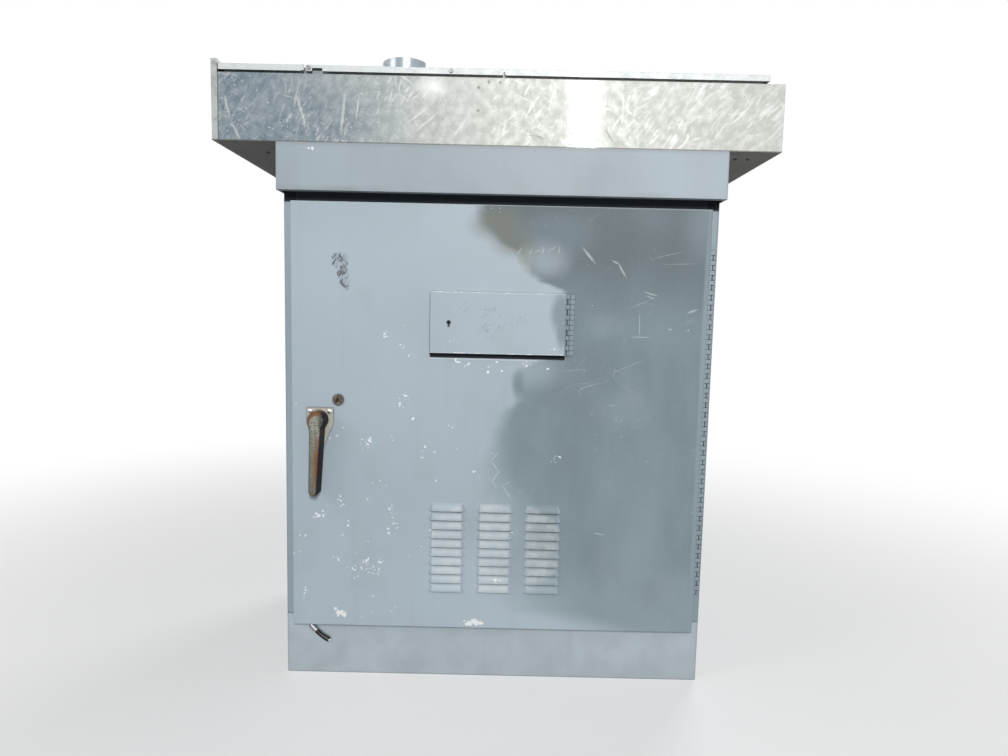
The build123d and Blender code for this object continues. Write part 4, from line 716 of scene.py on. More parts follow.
def aluminium(name, settings, cool, warm, marks=(), dents=0.0):
    """Return rubbed mill-finished sheet, from a cool colour at the left to a warm one at the right, the
    change painting in the reflections of the sky and the sun, with a painted glint on the front.
    """
    finish = Finish(name, 0.5, 0.3)
    finish.set("Coat Weight", 0.09)
    finish.set("Coat Roughness", 0.09)
    bright = settings.bright_metal
    x = finish.axes()[0]
    across = finish.math("ADD", x, finish.times(finish.cloud(81.0, 4.0, 0.2, 0.8), 0.14))
    # Painted reflection: the cool colour at the left stands for the sky's reflection, the warm one at the
    # right for the sun's
    finish.shade = finish.mix(finish.ramp(across, -0.56, 0.07), cool, warm)
    right = finish.ramp(x, 0.28, 0.46)
    mottle = finish.cloud(84.0, 45.0, 0.35, 0.72, 8.0)
    finish.lay(bright, finish.cloud(83.0, 8.0, 0.38, 0.68, 6.0), 0.14)
    finish.lay(bright, mottle, 0.20)
    worn = finish.cloud(85.0, 7.0, 0.42, 0.60, 3.0)
    shares = {
        "left": finish.times(finish.blend(worn, 0.10, 0.50), finish.math("SUBTRACT", 1.0, right)),
        "right": finish.times(finish.blend(right, 0.12, 0.60), finish.blend(worn, 0.55, 1.0)),
    }
    rubbed = finish.most(*[finish.times(finish.rubs(*rub), shares[side]) for *rub, side in METAL_RUBS])
    finish.lay(bright, rubbed)
    finish.scrape(marks, 0.55, bright)
    # Painted highlight: a bright glint on the housing's front
    finish.lay(tinted(bright, 1.25), finish.front(finish.area(-0.176, 1.535, 0.030, 0.020, 0.9)), 0.8)
    finish.lay(tinted(settings.dirt, 1.6), finish.cloud(104.0, 60.0, 0.52, 0.66, 6.0), dents)
    hairs = finish.most(*[finish.lines(*hair, 16.0, 0.03, 0.6, 0.05) for hair in METAL_HAIRS])
    finish.lay(bright, hairs, 0.18)
    cracks = finish.lines(100.0, -0.35, 30.0, 9.0, 0.010, 1.0, 0.10)
    finish.lay(settings.dirt, cracks, finish.area(0.170, 1.430, 0.110, 0.035, 0.5), 0.55)
    finish.lay(bright, finish.cloud(102.0, 120.0, 0.66, 0.69, 5.0), 0.55)
    finish.lay(settings.dirt, finish.cloud(101.0, 130.0, 0.70, 0.74), 0.5)
    stain = finish.cloud(103.0, 6.0, 0.2, 0.8, 5.0)
    under = finish.times(finish.use("facing")["Below"], finish.blend(stain, 0.75, 1.0))
    finish.lay(settings.underside, under)
    edge = finish.edges(0.0012, 60.0, 0.04, 0.3)
    finish.lay(bright, edge["Mask"], 0.4)
    # Dirt and painted shade where surfaces stand close together
    finish.lay(settings.dirt, finish.crevice(0.008), 0.85)
    seam = finish.line(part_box("roof_box_end_plate")[1].x + 0.0015, 0.0022, ACROSS)
    foot = finish.line(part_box("roof_box_shell")[0].z + 0.0010, 0.0022)
    finish.lay(settings.dirt, finish.front(finish.most(seam, foot)), 0.75)
    finish.set("Roughness", finish.blend(rubbed, finish.blend(mottle, 0.60, 0.50), 0.38))
    finish.set("Metallic", finish.blend(under, 0.3, 0.05))
    return finish.done(finish.math("ADD", rubbed, finish.times(hairs, 0.4)), 0.10, 0.0003, edge)


def plain_metal(name, colour, roughness=0.4, grain=(1.0, 1.0, 1.0), stain=(0.20, 0.17, 0.13), amount=0.25,
                metallic=0.9):
    """Return a plain metal with grain, faint scratches and some staining."""
    finish = Finish(name, roughness, metallic)
    finish.base(finish.cloud(7.0, 22.0, 0.3, 0.7, 5.0), colour, 0.86, 1.08)
    line = finish.cloud(8.0, 320.0, 0.3, 0.7, 2.0, grain)
    finish.lay(tinted(colour, 0.6), line, 0.12)
    spots = finish.cloud(9.0, 34.0, 0.52, 0.72, 8.0)
    finish.lay(stain, spots, amount)
    edge = finish.edges(0.0006, 120.0, 0.05, 0.35)
    finish.lay(tinted(colour, 1.35), edge["Mask"], 0.45)
    finish.set("Roughness", finish.blend(spots, roughness * 0.9, min(0.9, roughness * 1.5)))
    return finish.done(line, 0.06, 0.0002, edge)


def plastic(name, colour, roughness, seed):
    """Return a moulded plastic or rubber with a fine texture and dust."""
    finish = Finish(name, roughness)
    finish.base(finish.cloud(seed, 30.0, 0.3, 0.7, 5.0), colour, 0.85, 1.15)
    dust = finish.cloud(seed + 1, 60.0, 0.45, 0.8, 7.0)
    finish.lay((0.5, 0.48, 0.44), dust, 0.12)
    edge = finish.edges(0.0006, 150.0, 0.08, 0.4)
    finish.lay(tinted(colour, 2.0), edge["Mask"], 0.2)
    finish.set("Roughness", finish.blend(dust, roughness, min(0.9, roughness + 0.2)))
    return finish.done(finish.cloud(0.0, 900.0, 0.3, 0.7, 1.0), 0.08, 0.0002, edge)


def rusted_chrome(settings):
    """Return pitted old plated metal, darkened to paint in dark reflections, with painted shade on its right
    side and rust on the hub and down the lever.
    """
    finish = Finish("handle_metal", 0.35, 0.9)
    x, y, z = finish.axes()
    sideways = finish.axes("Normal")[0]
    hub_x, hub_z = SHAFT
    # The plating's colour is darkened to paint in the reflection of dark surroundings
    plating_and_painted_reflection = settings.handle_painted_dark_reflection
    tone = finish.cloud(13.0, 110.0, 0.3, 0.7, 8.0)
    finish.shade = finish.mix(finish.ramp(z, 0.56, 0.70), plating_and_painted_reflection, tinted(plating_and_painted_reflection, 1.7))
    finish.lay(tinted(plating_and_painted_reflection, 0.7), finish.cloud(15.0, 120.0, 0.3, 0.7, 4.0, (1.0, 1.0, 0.10)), 0.5)
    finish.lay(tinted(plating_and_painted_reflection, 0.40), tone, 0.40)
    flecks = finish.specks(16.0, 300.0, 0.40, 0.45, 0.5)
    finish.lay(settings.steel, flecks, finish.ramp(z, 0.60, 0.70, 0.15, 0.7))
    pits = finish.times(finish.specks(12.0, 260.0, 0.42, 0.5, 0.6), finish.ramp(z, 0.60, 0.70, 0.45, 0.95))
    finish.lay(tinted(settings.rust_dark, 0.8), pits)
    stripe = finish.spot(-0.455, 0.592, 0.010, 0.072, 0.75, 0.35, 45.0, -0.05)
    crown = finish.math("SUBTRACT", finish.area(hub_x + 0.006, hub_z, 0.027, 0.027, 0.15),
                        finish.area(hub_x + 0.001, hub_z - 0.008, 0.015, 0.022, 0.3))
    fall = finish.ramp(x, hub_x + 0.020, hub_x + 0.004, 0.35, 0.9)
    crown = finish.math("MULTIPLY", crown, fall, clamp=True)
    large = finish.cloud(11.0, 34.0, 0.42, 0.60, 7.0)
    rust = finish.math("ADD", finish.times(finish.most(stripe, crown), 0.8), finish.times(large, 0.25))
    rust = finish.ramp(rust, 0.15, 0.90)
    brown = finish.math("ADD", finish.times(tone, 0.6), 0.25)
    finish.lay(finish.mix(brown, settings.rust_dark, settings.rust_light), rust)
    # Painted shade on the faces that look to the right, browner on the hub, with less sheen
    right = finish.ramp(sideways, 0.25, 0.60)
    hub = finish.times(finish.area(hub_x + 0.008, hub_z, 0.032, 0.034, 0.2), finish.blend(tone, 0.3, 0.9))
    finish.lay(finish.mix(hub, settings.painted_side_shade, tinted(settings.rust_light, 0.30)), right, 0.92)
    # Painted shade on the right part of the hub's front
    shaded_hub_side = finish.area(hub_x + 0.022, hub_z - 0.004, 0.014, 0.026, 0.35)
    finish.lay(settings.painted_side_shade, shaded_hub_side, finish.blend(tone, 0.95, 0.55))
    finish.lay((0.16, 0.155, 0.19), finish.ramp(sideways, -0.35, -0.70), 0.6)
    matt = finish.most(rust, right)
    finish.set("Metallic", finish.blend(matt, 0.5, 0.05))
    finish.set("Roughness", finish.blend(matt, 0.34, 0.75))
    finish.set("Specular IOR Level", finish.blend(right, 0.5, 0.15))
    relief = finish.math("SUBTRACT", finish.times(tone, rust), pits)
    return finish.done(relief, 0.35, 0.0005, finish.edges(0.0008))


def patinated_plate(settings):
    """Return the handle plate's dull pale metal with a brown patina along its edges."""
    finish = Finish("plate_metal", 0.55, 0.15)
    tone = finish.cloud(111.0, 60.0, 0.3, 0.7, 6.0)
    finish.base(tone, settings.plate, 0.88, 1.08)
    low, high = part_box("handle_plate")
    x, y, z = finish.axes()
    rim = finish.most(finish.ramp(x, low.x + 0.004, low.x), finish.ramp(z, high.z - 0.004, high.z))
    edge = finish.edges(0.0016, 160.0, 0.01, 0.12)
    brown = finish.most(finish.times(rim, 0.6), finish.most(edge["Mask"], finish.crevice(0.005)))
    finish.lay(settings.patina, brown, finish.blend(tone, 0.55, 0.95))
    return finish.done(finish.lines(113.0, 0.9, 200.0, 12.0, 0.03, 0.8), 0.1, 0.0002, edge)


def worn_plug(settings):
    """Return the lock plug's dark brass with bright worn flecks, and grime with painted shade in tight
    corners.
    """
    finish = Finish("lock_brass", 0.45, 0.6)
    flecks = finish.times(finish.cloud(121.0, 300.0, 0.50, 0.62, 5.0), 0.5)
    bright = finish.most(flecks, finish.lines(122.0, 1.0, 260.0, 4.0, 0.06, 1.0))
    finish.base(bright, settings.brass, 0.15, 1.9)
    # Grime and painted shade where the plug's surfaces stand close together
    finish.lay(tinted(settings.brass, 0.1), finish.crevice(0.004))
    return finish.done(bright, 0.2, 0.0002, finish.edges(0.0008))


def sleeve_rubber(settings):
    """Return the lead stub's black sleeve with its bright crimped end."""
    finish = Finish("lead_rubber", 0.35)
    low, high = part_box("lead_stub")
    x, y, z = finish.axes()
    end = high.x - low.z
    tip = finish.ramp(finish.math("SUBTRACT", x, z), end - 0.012, end - 0.010)
    dust = finish.cloud(131.0, 90.0, 0.45, 0.8, 6.0)
    finish.shade = finish.mix(finish.times(dust, 0.06), (0.006, 0.006, 0.007), settings.steel)
    finish.lay(settings.steel, tip)
    finish.set("Metallic", finish.times(tip, 0.6))
    return finish.done(dust, 0.1, 0.0002)


def filter_paper():
    """Return the grey-white pleated paper, dirtier in its valleys."""
    finish = Finish("filter_paper", 0.95)
    finish.shade = finish.mix(finish.cloud(21.0, 30.0, 0.3, 0.7, 7.0), (0.36, 0.35, 0.32), (0.52, 0.51, 0.47))
    finish.lay((0.13, 0.12, 0.11), finish.ramp(finish.axes()[1], -0.352, -0.340), 0.6)
    return finish.done(finish.lines(22.0, 0.4, 400.0, 6.0, 0.1, 1.0), 0.2, 0.0003)


def floor_material(tone):
    """Return a pale floor that turns white away from the object and keeps its shadow near it."""
    finish = Finish("floor_tone", 0.95)
    seen = finish.add("ShaderNodeLightPath").outputs["Is Camera Ray"]
    finish.set("Base Color", finish.mix(seen, (0.4, 0.4, 0.4), (tone, tone, tone)))
    away = finish.vector("LENGTH", finish.place())
    far = finish.times(finish.ramp(away, *FLOOR_FADE, 0.35, 1.0), seen)
    glow = finish.add("ShaderNodeEmission", {"Color": WHITE, "Strength": 1.0})
    mixed = finish.add("ShaderNodeMixShader", {0: far, 1: finish.shader.outputs[0], 2: glow.outputs[0]})
    finish.feed(finish.tree.nodes["Material Output"].inputs["Surface"], mixed.outputs[0])
    return finish.material


def colour_prop(label, text, *value):
    return FloatVectorProperty(name=label, description=text, subtype="COLOR", size=3, min=0.0, max=1.0,
                               default=value)


def length_prop(label, text, value):
    return FloatProperty(name=label, description=text, default=value, min=0.0005, max=0.05, unit="LENGTH")


def power_prop(label, text, value):
    return FloatProperty(name=label, description=text, default=value, min=0.0, unit="POWER")


class PaintSettings(bpy.types.PropertyGroup):
    """Colours of the cabinet's paint and of what shows on it."""

    first_coat: colour_prop("First coat", "Light grey enamel of the door", 0.400, 0.475, 0.527)
    second_coat: colour_prop("Second coat", "Darker grey of the touched-up part", 0.182, 0.240, 0.266)
    body_coat: colour_prop("Body", "Grey of the side panels and the hinge", 0.30, 0.37, 0.41)
    sill_coat: colour_prop("Sill", "Grey of the lower front panel", 0.475, 0.545, 0.590)
    hood_coat: colour_prop("Hood", "Slightly bluer grey of the hood", 0.350, 0.410, 0.455)
    primer: colour_prop("Chips", "Pale primer in the chips", 0.88, 0.90, 0.90)
    powder: colour_prop("Powder", "Warm pale powder on the louvres", 0.66, 0.68, 0.66)
    # Grime and painted shade in corners and joints
    crevice: colour_prop("Crevice", "Grime in corners and joints", 0.05, 0.06, 0.07)
    bare_edge: colour_prop("Worn edge", "Paint rubbed thin along an edge", 0.58, 0.62, 0.64)
    scratch: colour_prop("Scratches", "Pale fine scratches", 0.55, 0.60, 0.62)
    smudge: colour_prop("Smudge", "Brown-grey soot on the upper part", 0.17, 0.175, 0.15)
    tan_stain: colour_prop("Stain", "Faint tan stain", 0.50, 0.48, 0.40)
    scuff: colour_prop("Scuff", "Dark rubbed marks", 0.09, 0.10, 0.11)
    dirt: colour_prop("Dirt", "Dark specks and runs", 0.13, 0.13, 0.12)
    dust: colour_prop("Dust", "Settled pale dust", 0.58, 0.57, 0.53)
    # Painted shade: the dark colour laid under the hood, under the small door, on its underside, round the
    # keyhole and in the hinge joints
    recess: colour_prop("Recess", "Dark recess under the hood", 0.022, 0.026, 0.032)


class MetalSettings(bpy.types.PropertyGroup):
    """Colours of the bare metals."""

    # Painted reflections: the housing's sheet with the bluish sky's reflection at the left and the warm sun's
    # at the right
    cool_sheet_painted_sky: colour_prop("Cool sheet", "Dull bluish side of the roof housing", 0.100, 0.152, 0.195)
    warm_sheet_painted_sun: colour_prop("Warm sheet", "Bright side of the roof housing", 0.43, 0.44, 0.405)
    lid_metal: colour_prop("Lids", "Bright sheet of the lids", 0.56, 0.595, 0.60)
    plate_metal: colour_prop("End plate", "Mottled sheet of the end plate", 0.36, 0.39, 0.395)
    bright_metal: colour_prop("Rubbed sheet", "Freshly rubbed streaks", 0.58, 0.59, 0.575)
    underside: colour_prop("Underside", "Dull brown-grey underside", 0.25, 0.235, 0.215)
    dirt: colour_prop("Pits", "Dark pits", 0.12, 0.11, 0.10)
    # Plating left on the handle, darkened to paint in the reflection of dark surroundings
    handle_painted_dark_reflection: colour_prop("Plating", "Plating left on the handle", 0.27, 0.275, 0.23)
    # Painted shade on the right side of the lever and the hub
    painted_side_shade: colour_prop("Handle side", "Blackened side of the lever", 0.014, 0.017, 0.024)
    plate: colour_prop("Plate", "Dull pale metal of the handle plate", 0.52, 0.50, 0.45)
    patina: colour_prop("Patina", "Brown patina", 0.13, 0.085, 0.055)
    rust_light: colour_prop("Rust", "Orange rust", 0.27, 0.105, 0.030)
    rust_dark: colour_prop("Old rust", "Dark rust", 0.060, 0.032, 0.022)
    steel: colour_prop("Plated steel", "Zinc-plated steel", 0.60, 0.60, 0.57)
    brass: colour_prop("Brass", "Dull brass of the lock plug", 0.15, 0.12, 0.085)


class FastenerSettings(bpy.types.PropertyGroup):
    """Sizes of the rivets and screws."""

    rivet_radius: length_prop("Rivet radius", "Radius of the domed rivets of the handle plate", 0.0068)
    rivet_height: length_prop("Rivet height", "Height of a domed rivet", 0.0034)
    screw_radius: length_prop("Screw radius", "Radius of the pan-head screws", 0.0042)
    screw_height: length_prop("Screw height", "Height of a pan-head screw", 0.0026)


class StageSettings(bpy.types.PropertyGroup):
    """The floor and the lamps."""

    floor_tone: FloatProperty(name="Floor", description="Paleness of the floor", default=0.86, min=0.0,
                              max=1.0)
    key_power: power_prop("Key lamp", "Power of the lamp above the camera", 238.0)
    side_power: power_prop("Side lamp", "Power of the soft lamp at the left", 32.0)
    back_power: power_prop("Back lamp", "Power of the lamp behind", 90.0)
    sky: FloatProperty(name="Surround", description="Strength of the light from all round", default=0.20,
                       min=0.0)


def coat(material, *nodes):
    """Give CAD nodes a material."""
    for name in nodes:
        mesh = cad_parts[name].data
        mesh.materials.clear()
        mesh.materials.append(material)


def fastener_tree(name, domed, material):
    """Return a Geometry Nodes tree that sets a rivet or a slotted screw at each vertex."""
    tree = bpy.data.node_groups.new(name, "GeometryNodeTree")
    kinds = {"Geometry": "Geometry", "Radius": "Float", "Height": "Float", "Turn": "Vector"}
    for label, kind in kinds.items():
        tree.interface.new_socket(label, in_out="INPUT", socket_type="NodeSocket" + kind)
    tree.interface.new_socket("Geometry", in_out="OUTPUT", socket_type="NodeSocketGeometry")
    kit = NodeKit(tree)
    given = kit.add("NodeGroupInput").outputs
    radius = given["Radius"]
    height = given["Height"]
    if domed:
        values = {"Segments": 20, "Rings": 10, "Radius": 1.0}
        ball = kit.add("GeometryNodeMeshUVSphere", values).outputs["Mesh"]
        values = {"Geometry": ball, "Scale": kit.triple(radius, radius, height)}
    else:
        values = {"Vertices": 20, "Radius": radius, "Depth": height}
        body = kit.add("GeometryNodeMeshCylinder", values).outputs["Mesh"]
        width = kit.times(radius, 0.28)
        reach = kit.times(radius, 3.0)
        lift = kit.triple(0.0, 0.0, kit.times(height, 0.6))
        for first, second in ((reach, width), (width, reach)):
            box = {"Size": kit.triple(first, second, height)}
            cube = kit.add("GeometryNodeMeshCube", box).outputs["Mesh"]
            cube = kit.add("GeometryNodeTransform", {"Geometry": cube, "Translation": lift}).outputs[0]
            cut = kit.add("GeometryNodeMeshBoolean", {"Mesh 1": body}, operation="DIFFERENCE")
            tree.links.new(cube, cut.inputs["Mesh 2"])
            body = cut.outputs["Mesh"]
        values = {"Geometry": body, "Translation": kit.triple(0.0, 0.0, kit.times(height, 0.5))}
    head = kit.add("GeometryNodeTransform", values).outputs[0]
    values = {"Points": given["Geometry"], "Instance": head, "Rotation": given["Turn"]}
    many = kit.add("GeometryNodeInstanceOnPoints", values).outputs[0]
    solid = kit.add("GeometryNodeRealizeInstances", {"Geometry": many}).outputs[0]
    done = kit.add("GeometryNodeSetMaterial", {"Geometry": solid, "Material": material}).outputs[0]
    kit.feed(kit.add("NodeGroupOutput").inputs[0], done)
    return tree


def fasteners(name, body, places, facing, radius, height, tree, slot):
    """Set one fastener at each place, all looking the same way, as one mesh on a body."""
    mesh = bpy.data.meshes.new(name + "_places")
    mesh.from_pydata([Vector(place) for place in places], [], [])
    holder = bpy.data.objects.new(name + "_places", mesh)
    bpy.context.scene.collection.objects.link(holder)
    modifier = holder.modifiers.new("fasteners", "NODES")
    modifier.node_group = tree
    sockets = {item.name: item.identifier for item in tree.interface.items_tree if item.in_out == "INPUT"}
    modifier[sockets["Radius"]] = radius
    modifier[sockets["Height"]] = height
    modifier[sockets["Turn"]] = TURNS[facing]
    evaluated = holder.evaluated_get(bpy.context.evaluated_depsgraph_get())
    made = bpy.data.meshes.new_from_object(evaluated)
    holder.modifiers.remove(modifier)
    bpy.data.objects.remove(holder)
    piece = bpy.data.objects.new(name, made)
    bpy.context.scene.collection.objects.link(piece)
    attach(piece, body)


def front_of(node):
    """Return the front plane of a CAD node."""
    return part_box(node)[0].y


def met_from(node, facing, x, second):
    """Return where a CAD node's surface is met at x and z, or from below at x and y."""
    low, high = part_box(node)
    starts = {
        "front": ((x, low.y - RAY_START, second), (0.0, 1.0, 0.0)),
        "back": ((x, high.y + RAY_START, second), (0.0, -1.0, 0.0)),
        "below": ((x, second, low.z - RAY_START), (0.0, 0.0, 1.0)),
    }
    found, place, normal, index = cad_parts[node].ray_cast(*starts[facing])
    if not found:
        raise ValueError(f"no surface of {node} at {x}, {second}")
    return tuple(place)


def corners(node, facing, inset):
    """Return the four places near the corners of a CAD node's box on one side."""
    low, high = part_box(node)
    start, end = (low.y, high.y) if facing == "below" else (low.z, high.z)
    return [met_from(node, facing, x, second)
            for x in (low.x + inset, high.x - inset)
            for second in (start + inset, end - inset)]


class CABINET_OT_paint_body(bpy.types.Operator):
    """Paint the body panels, the header, the sill and the hood"""

    bl_idname = "cabinet.paint_body"
    bl_label = "Paint body"

    def execute(self, context):
        colours = context.scene.cabinet_paint
        coat(paint("body_paint", colours, colours.body_coat, 2.0, body_marks),
             "left_side_panel", "right_side_panel", "back_panel")
        # Painted shade: the header under the hood takes the dark shade colour, doubled, with almost no sheen
        coat(paint("recess_paint", colours, tinted(colours.recess, 2.0), 3.0, shine=0.05), "door_header")
        coat(paint("sill_paint", colours, colours.sill_coat, 5.0, body_marks), "sill_panel")
        coat(paint("hood_paint", colours, colours.hood_coat, 9.0, hood_marks), "hood")
        return {"FINISHED"}


class CABINET_OT_paint_doors(bpy.types.Operator):
    """Paint the louvred door, the small door and their hinges with their wear"""

    bl_idname = "cabinet.paint_doors"
    bl_label = "Paint doors"

    def execute(self, context):
        colours = context.scene.cabinet_paint
        coat(paint("door_paint", colours, colours.first_coat, 14.0, door_marks), "main_door")
        coat(paint("small_door_paint", colours, colours.first_coat, 18.0, small_door_marks), "access_door")
        joints = knuckle_joints("hinge_door_leaf", KNUCKLE)
        coat(paint("door_hinge_paint", colours, colours.body_coat, 22.0, joints),
             "hinge_frame_leaf", "hinge_door_leaf")
        joints = knuckle_joints("access_door_leaf", SMALL_KNUCKLE)
        coat(paint("small_hinge_paint", colours, tinted(colours.second_coat, 1.3), 24.0, joints),
             "access_hinge_leaf", "access_door_leaf")
        return {"FINISHED"}


class CABINET_OT_finish_roof(bpy.types.Operator):
    """Give the roof housing, its lids and its collar their rubbed aluminium and steel"""

    bl_idname = "cabinet.finish_roof"
    bl_label = "Finish roof housing"

    def execute(self, context):
        metals = context.scene.cabinet_metal
        coat(aluminium("roof_aluminium", metals, metals.cool_sheet_painted_sky, metals.warm_sheet_painted_sun, HOUSING_SCRAPES),
             "roof_box_shell")
        coat(aluminium("lid_aluminium", metals, metals.lid_metal, metals.lid_metal, dents=0.10),
             "left_lid", "middle_lid", "right_lid")
        coat(aluminium("end_plate_aluminium", metals, metals.plate_metal, metals.plate_metal, dents=0.45),
             "roof_box_end_plate")
        coat(plain_metal("collar_steel", (0.36, 0.41, 0.44), 0.30, (1.0, 1.0, 0.02), metallic=0.75),
             "vent_collar")
        return {"FINISHED"}


class CABINET_OT_finish_fittings(bpy.types.Operator):
    """Give the handle, its plate, the locks, the latch, the hinge pins and the lead stub their materials"""

    bl_idname = "cabinet.finish_fittings"
    bl_label = "Finish fittings"

    def execute(self, context):
        metals = context.scene.cabinet_metal
        coat(rusted_chrome(metals), "door_handle")
        coat(patinated_plate(metals), "handle_plate")
        coat(worn_plug(metals), "lock_plug")
        coat(plain_metal("cast_zinc", (0.42, 0.43, 0.42), 0.55, amount=0.5), "shaft_bearing")
        coat(plain_metal("lock_casting", (0.16, 0.16, 0.155), 0.55, amount=0.6), "lock_case")
        coat(plain_metal("plated_steel", metals.steel, 0.35), "handle_shaft", "latch_cam", "upper_latch_rod",
             "lower_latch_rod", "lock_bolt", "left_toggle", "right_toggle")
        coat(plain_metal("lock_cam_metal", (0.035, 0.034, 0.033), 0.7, metallic=0.3),
             "access_lock_cam", "access_lock_case")
        coat(plain_metal("hinge_steel", (0.35, 0.34, 0.32), 0.5, stain=(0.18, 0.09, 0.04), amount=0.7),
             "hinge_pin", "access_hinge_pin")
        coat(plain_metal("lead_metal", (0.66, 0.68, 0.70), 0.35), "lead_ferrule")
        coat(sleeve_rubber(metals), "lead_stub")
        return {"FINISHED"}


class CABINET_OT_finish_inside(bpy.types.Operator):
    """Give the frame, shelves, panels, fan and switchgear their materials"""

    bl_idname = "cabinet.finish_inside"
    bl_label = "Finish inside"

    def execute(self, context):
        grey = (0.34, 0.34, 0.33)
        coat(plain_metal("frame_metal", (0.56, 0.58, 0.59), 0.42, (0.03, 1.0, 1.0), grey, metallic=0.6),
             "door_frame", "base_flange", "equipment_rails", "lower_shelf", "upper_shelf", "ceiling_panel",
             "mounting_panel", "power_panel", "door_stiffeners", "filter_frame")
        coat(plain_metal("screen_metal", (0.16, 0.17, 0.18), 0.6, metallic=0.4), "eave_screen")
        coat(plain_metal("compartment_metal", (0.52, 0.54, 0.55), 0.45, stain=grey, metallic=0.6),
             "switch_compartment")
        coat(plastic("gasket_rubber", (0.030, 0.030, 0.032), 0.8, 5.0), "door_gasket")
        coat(filter_paper(), "air_filter")
        coat(plastic("nylon", (0.72, 0.71, 0.66), 0.4, 6.0), "upper_roller", "lower_roller", "rod_guides")
        coat(plastic("black_plastic", (0.022, 0.022, 0.024), 0.42, 7.0), "fan_housing", "fan_rotor",
             "breaker_case", "breaker_lever", "switch_bodies")
        coat(plastic("terminal_plastic", (0.30, 0.32, 0.30), 0.5, 8.0), "terminal_blocks")
        return {"FINISHED"}


class CABINET_OT_add_rivets(bpy.types.Operator):
    """Add the domed rivets of the handle plate and of the door's hinge"""

    bl_idname = "cabinet.add_rivets"
    bl_label = "Add rivets"

    def execute(self, context):
        sizes = context.scene.cabinet_fasteners
        dome = fastener_tree("domed_rivet", True, plain_metal("rivet_metal", (0.70, 0.72, 0.73), 0.3))
        plate = front_of("handle_plate")
        places = [(x, plate, z) for x, z in PLATE_RIVETS]
        fasteners("handle_plate_rivets", "door", places, "front", sizes.rivet_radius, sizes.rivet_height,
                  dome, "plate_metal")
        low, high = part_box("hinge_door_leaf")
        heights = [low.z + LEAF_RIVET_START + LEAF_RIVET_PITCH * number for number in range(LEAF_RIVET_COUNT)]
        places = [(LEAF_RIVET_X, high.y - LEAF_RIVET_DEPTH, z) for z in heights]
        fasteners("door_leaf_rivets", "door", places, "back", *LEAF_RIVET, dome, "hinge_steel")
        return {"FINISHED"}


class CABINET_OT_add_screws(bpy.types.Operator):
    """Add the screws of the roof housing, the middle lid and the pieces inside"""

    bl_idname = "cabinet.add_screws"
    bl_label = "Add screws"

    def execute(self, context):
        sizes = context.scene.cabinet_fasteners
        pan_head = (sizes.screw_radius, sizes.screw_height)
        slot = "plated_steel"
        dark = fastener_tree("slotted_screw", False, plain_metal("screw_metal", (0.22, 0.21, 0.20), 0.5))
        pale = fastener_tree("pale_screw", False, plain_metal("lid_screw_metal", (0.34, 0.35, 0.35), 0.4))
        bright = fastener_tree("bright_screw", False, plain_metal("screw_steel", (0.50, 0.51, 0.50), 0.35))
        places = [met_from("roof_box_shell", "front", x, z) for x, z in HOUSING_SCREWS]
        fasteners("housing_face_screws", "cabinet", places, "front", *FACE_SCREW, dark, slot)
        places = [met_from("middle_lid", "front", x, z) for x, z in LID_SCREWS]
        fasteners("lid_screws", "cabinet", places, "front", *LID_SCREW, pale, slot)
        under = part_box("roof_box_shell")[0].z
        places = [(x, y, under) for x, y in UNDERSIDE_SCREWS]
        fasteners("housing_underside_screws", "cabinet", places, "below", *pan_head, dark, slot)
        for node, body, facing, inset in INSIDE_SCREWS:
            fasteners(f"{node}_screws", body, corners(node, facing, inset), facing, *pan_head, bright, slot)
        return {"FINISHED"}


def place_camera():
    """Stand the camera where the photograph was taken."""
    data = bpy.data.cameras.new("camera")
    data.sensor_width = SENSOR_WIDTH
    data.lens = SENSOR_WIDTH * CAMERA_FOCAL_PIXELS / PHOTO_WIDTH
    camera = bpy.data.objects.new("camera", data)
    bpy.context.scene.collection.objects.link(camera)
    forward = Vector((0.0, cos(CAMERA_PITCH), -sin(CAMERA_PITCH)))
    level = Vector((1.0, 0.0, 0.0))
    upright = level.cross(forward)
    right = level * cos(CAMERA_ROLL) + upright * sin(CAMERA_ROLL)
    up = upright * cos(CAMERA_ROLL) - level * sin(CAMERA_ROLL)
    turn = Matrix((right, up, -forward)).transposed().to_4x4()
    camera.matrix_world = Matrix.Translation(CAMERA_PLACE) @ turn
    bpy.context.scene.camera = camera


def lamp(name, place, target, width, height, strength):
    """Add a soft rectangular lamp that looks at a target."""
    data = bpy.data.lights.new(name, "AREA")
    data.energy = strength
    data.shape = "RECTANGLE"
    data.size = width
    data.size_y = height
    light = bpy.data.objects.new(name, data)
    bpy.context.scene.collection.objects.link(light)
    light.location = place
    light.rotation_euler = (Vector(target) - Vector(place)).to_track_quat("-Z", "Y").to_euler()


def light_surround(strength):
    """Light the scene from all round, and show white behind it and in mirror images."""
    world = bpy.data.worlds.new("surround")
    world.use_nodes = True
    bpy.context.scene.world = world
    kit = NodeKit(world.node_tree)
    plain = world.node_tree.nodes["Background"]
    plain.inputs["Color"].default_value = SKY_COLOUR
    plain.inputs["Strength"].default_value = strength
    white = kit.add("ShaderNodeBackground", {"Color": WHITE, "Strength": 1.0})
    path = kit.add("ShaderNodeLightPath").outputs
    seen = kit.most(path["Is Camera Ray"], path["Is Glossy Ray"], path["Is Transmission Ray"])
    mixed = kit.add("ShaderNodeMixShader", {0: seen, 1: plain.outputs[0], 2: white.outputs[0]})
    kit.feed(world.node_tree.nodes["World Output"].inputs["Surface"], mixed.outputs[0])


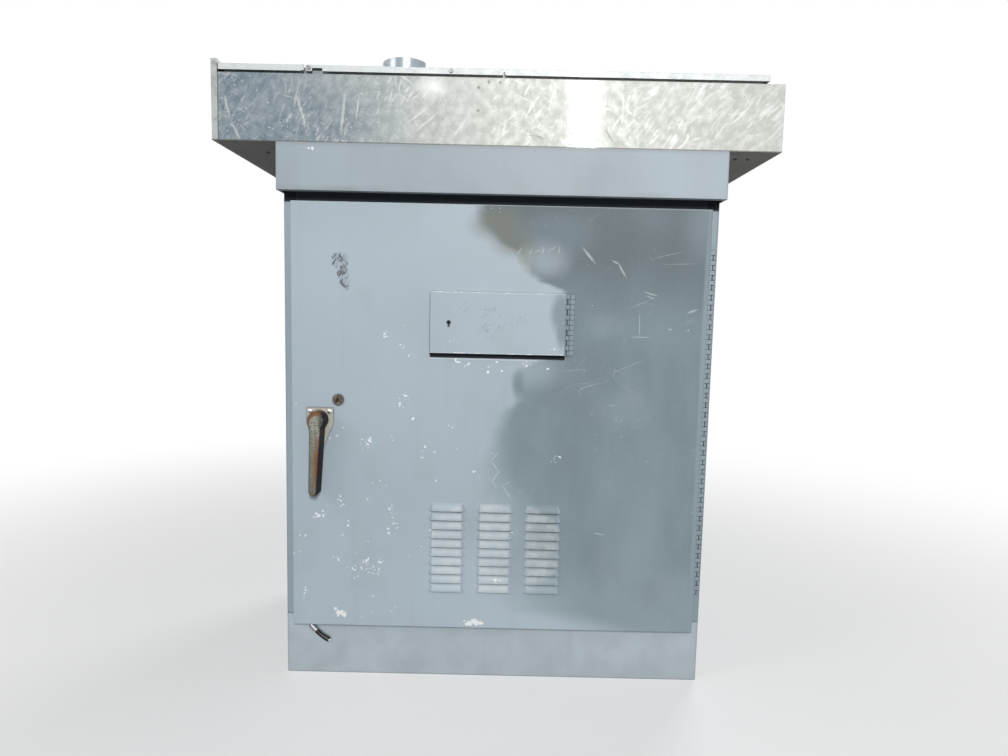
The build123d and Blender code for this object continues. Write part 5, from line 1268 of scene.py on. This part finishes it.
class CABINET_OT_set_stage(bpy.types.Operator):
    """Set the floor, the lamps, the surround and the camera"""

    bl_idname = "cabinet.set_stage"
    bl_label = "Set stage"

    def execute(self, context):
        settings = context.scene.cabinet_stage
        mesh = bpy.data.meshes.new("floor")
        form = bmesh.new()
        bmesh.ops.create_circle(form, cap_ends=True, segments=FLOOR_CORNERS, radius=FLOOR_RADIUS)
        form.to_mesh(mesh)
        form.free()
        floor = bpy.data.objects.new("floor", mesh)
        context.scene.collection.objects.link(floor)
        mesh.materials.append(floor_material(settings.floor_tone))
        lamp(*KEY_LAMP, settings.key_power)
        lamp(*SIDE_LAMP, settings.side_power)
        lamp(*BACK_LAMP, settings.back_power)
        light_surround(settings.sky)
        context.scene.view_settings.view_transform = "Standard"
        place_camera()
        return {"FINISHED"}


class CABINET_PT_panel(bpy.types.Panel):
    """The cabinet's finishing steps"""

    bl_idname = "CABINET_PT_panel"
    bl_label = "Cabinet"
    bl_space_type = "VIEW_3D"
    bl_region_type = "UI"
    bl_category = "Cabinet"

    def draw(self, context):
        for step in STEPS:
            self.layout.operator(step.bl_idname)
        for group in SETTINGS:
            box = self.layout.box()
            settings = getattr(context.scene, group)
            for name in settings.bl_rna.properties.keys():
                if name not in ("rna_type", "name"):
                    box.prop(settings, name)


EFFECTS = (
    make_cloud, make_specks, make_scratches, make_rubs, make_spot, make_area, make_edges, make_facing,
    make_line, make_crevice,
)
STEPS = (
    CABINET_OT_paint_body, CABINET_OT_paint_doors, CABINET_OT_finish_roof, CABINET_OT_finish_fittings,
    CABINET_OT_finish_inside, CABINET_OT_add_rivets, CABINET_OT_add_screws, CABINET_OT_set_stage,
)
SETTINGS = {
    "cabinet_paint": PaintSettings, "cabinet_metal": MetalSettings, "cabinet_fasteners": FastenerSettings,
    "cabinet_stage": StageSettings,
}


def register():
    for group, kind in SETTINGS.items():
        bpy.utils.register_class(kind)
        setattr(bpy.types.Scene, group, PointerProperty(type=kind))
    for step in (*STEPS, CABINET_PT_panel):
        bpy.utils.register_class(step)


def unregister():
    for step in (CABINET_PT_panel, *reversed(STEPS)):
        bpy.utils.unregister_class(step)
    for group, kind in SETTINGS.items():
        delattr(bpy.types.Scene, group)
        bpy.utils.unregister_class(kind)


def main():
    """Build every piece and material in order."""
    register()
    for make in EFFECTS:
        make()
    for step in STEPS:
        module, call = step.bl_idname.split(".")
        getattr(getattr(bpy.ops, module), call)()


if __name__ == "__main__":
    main()
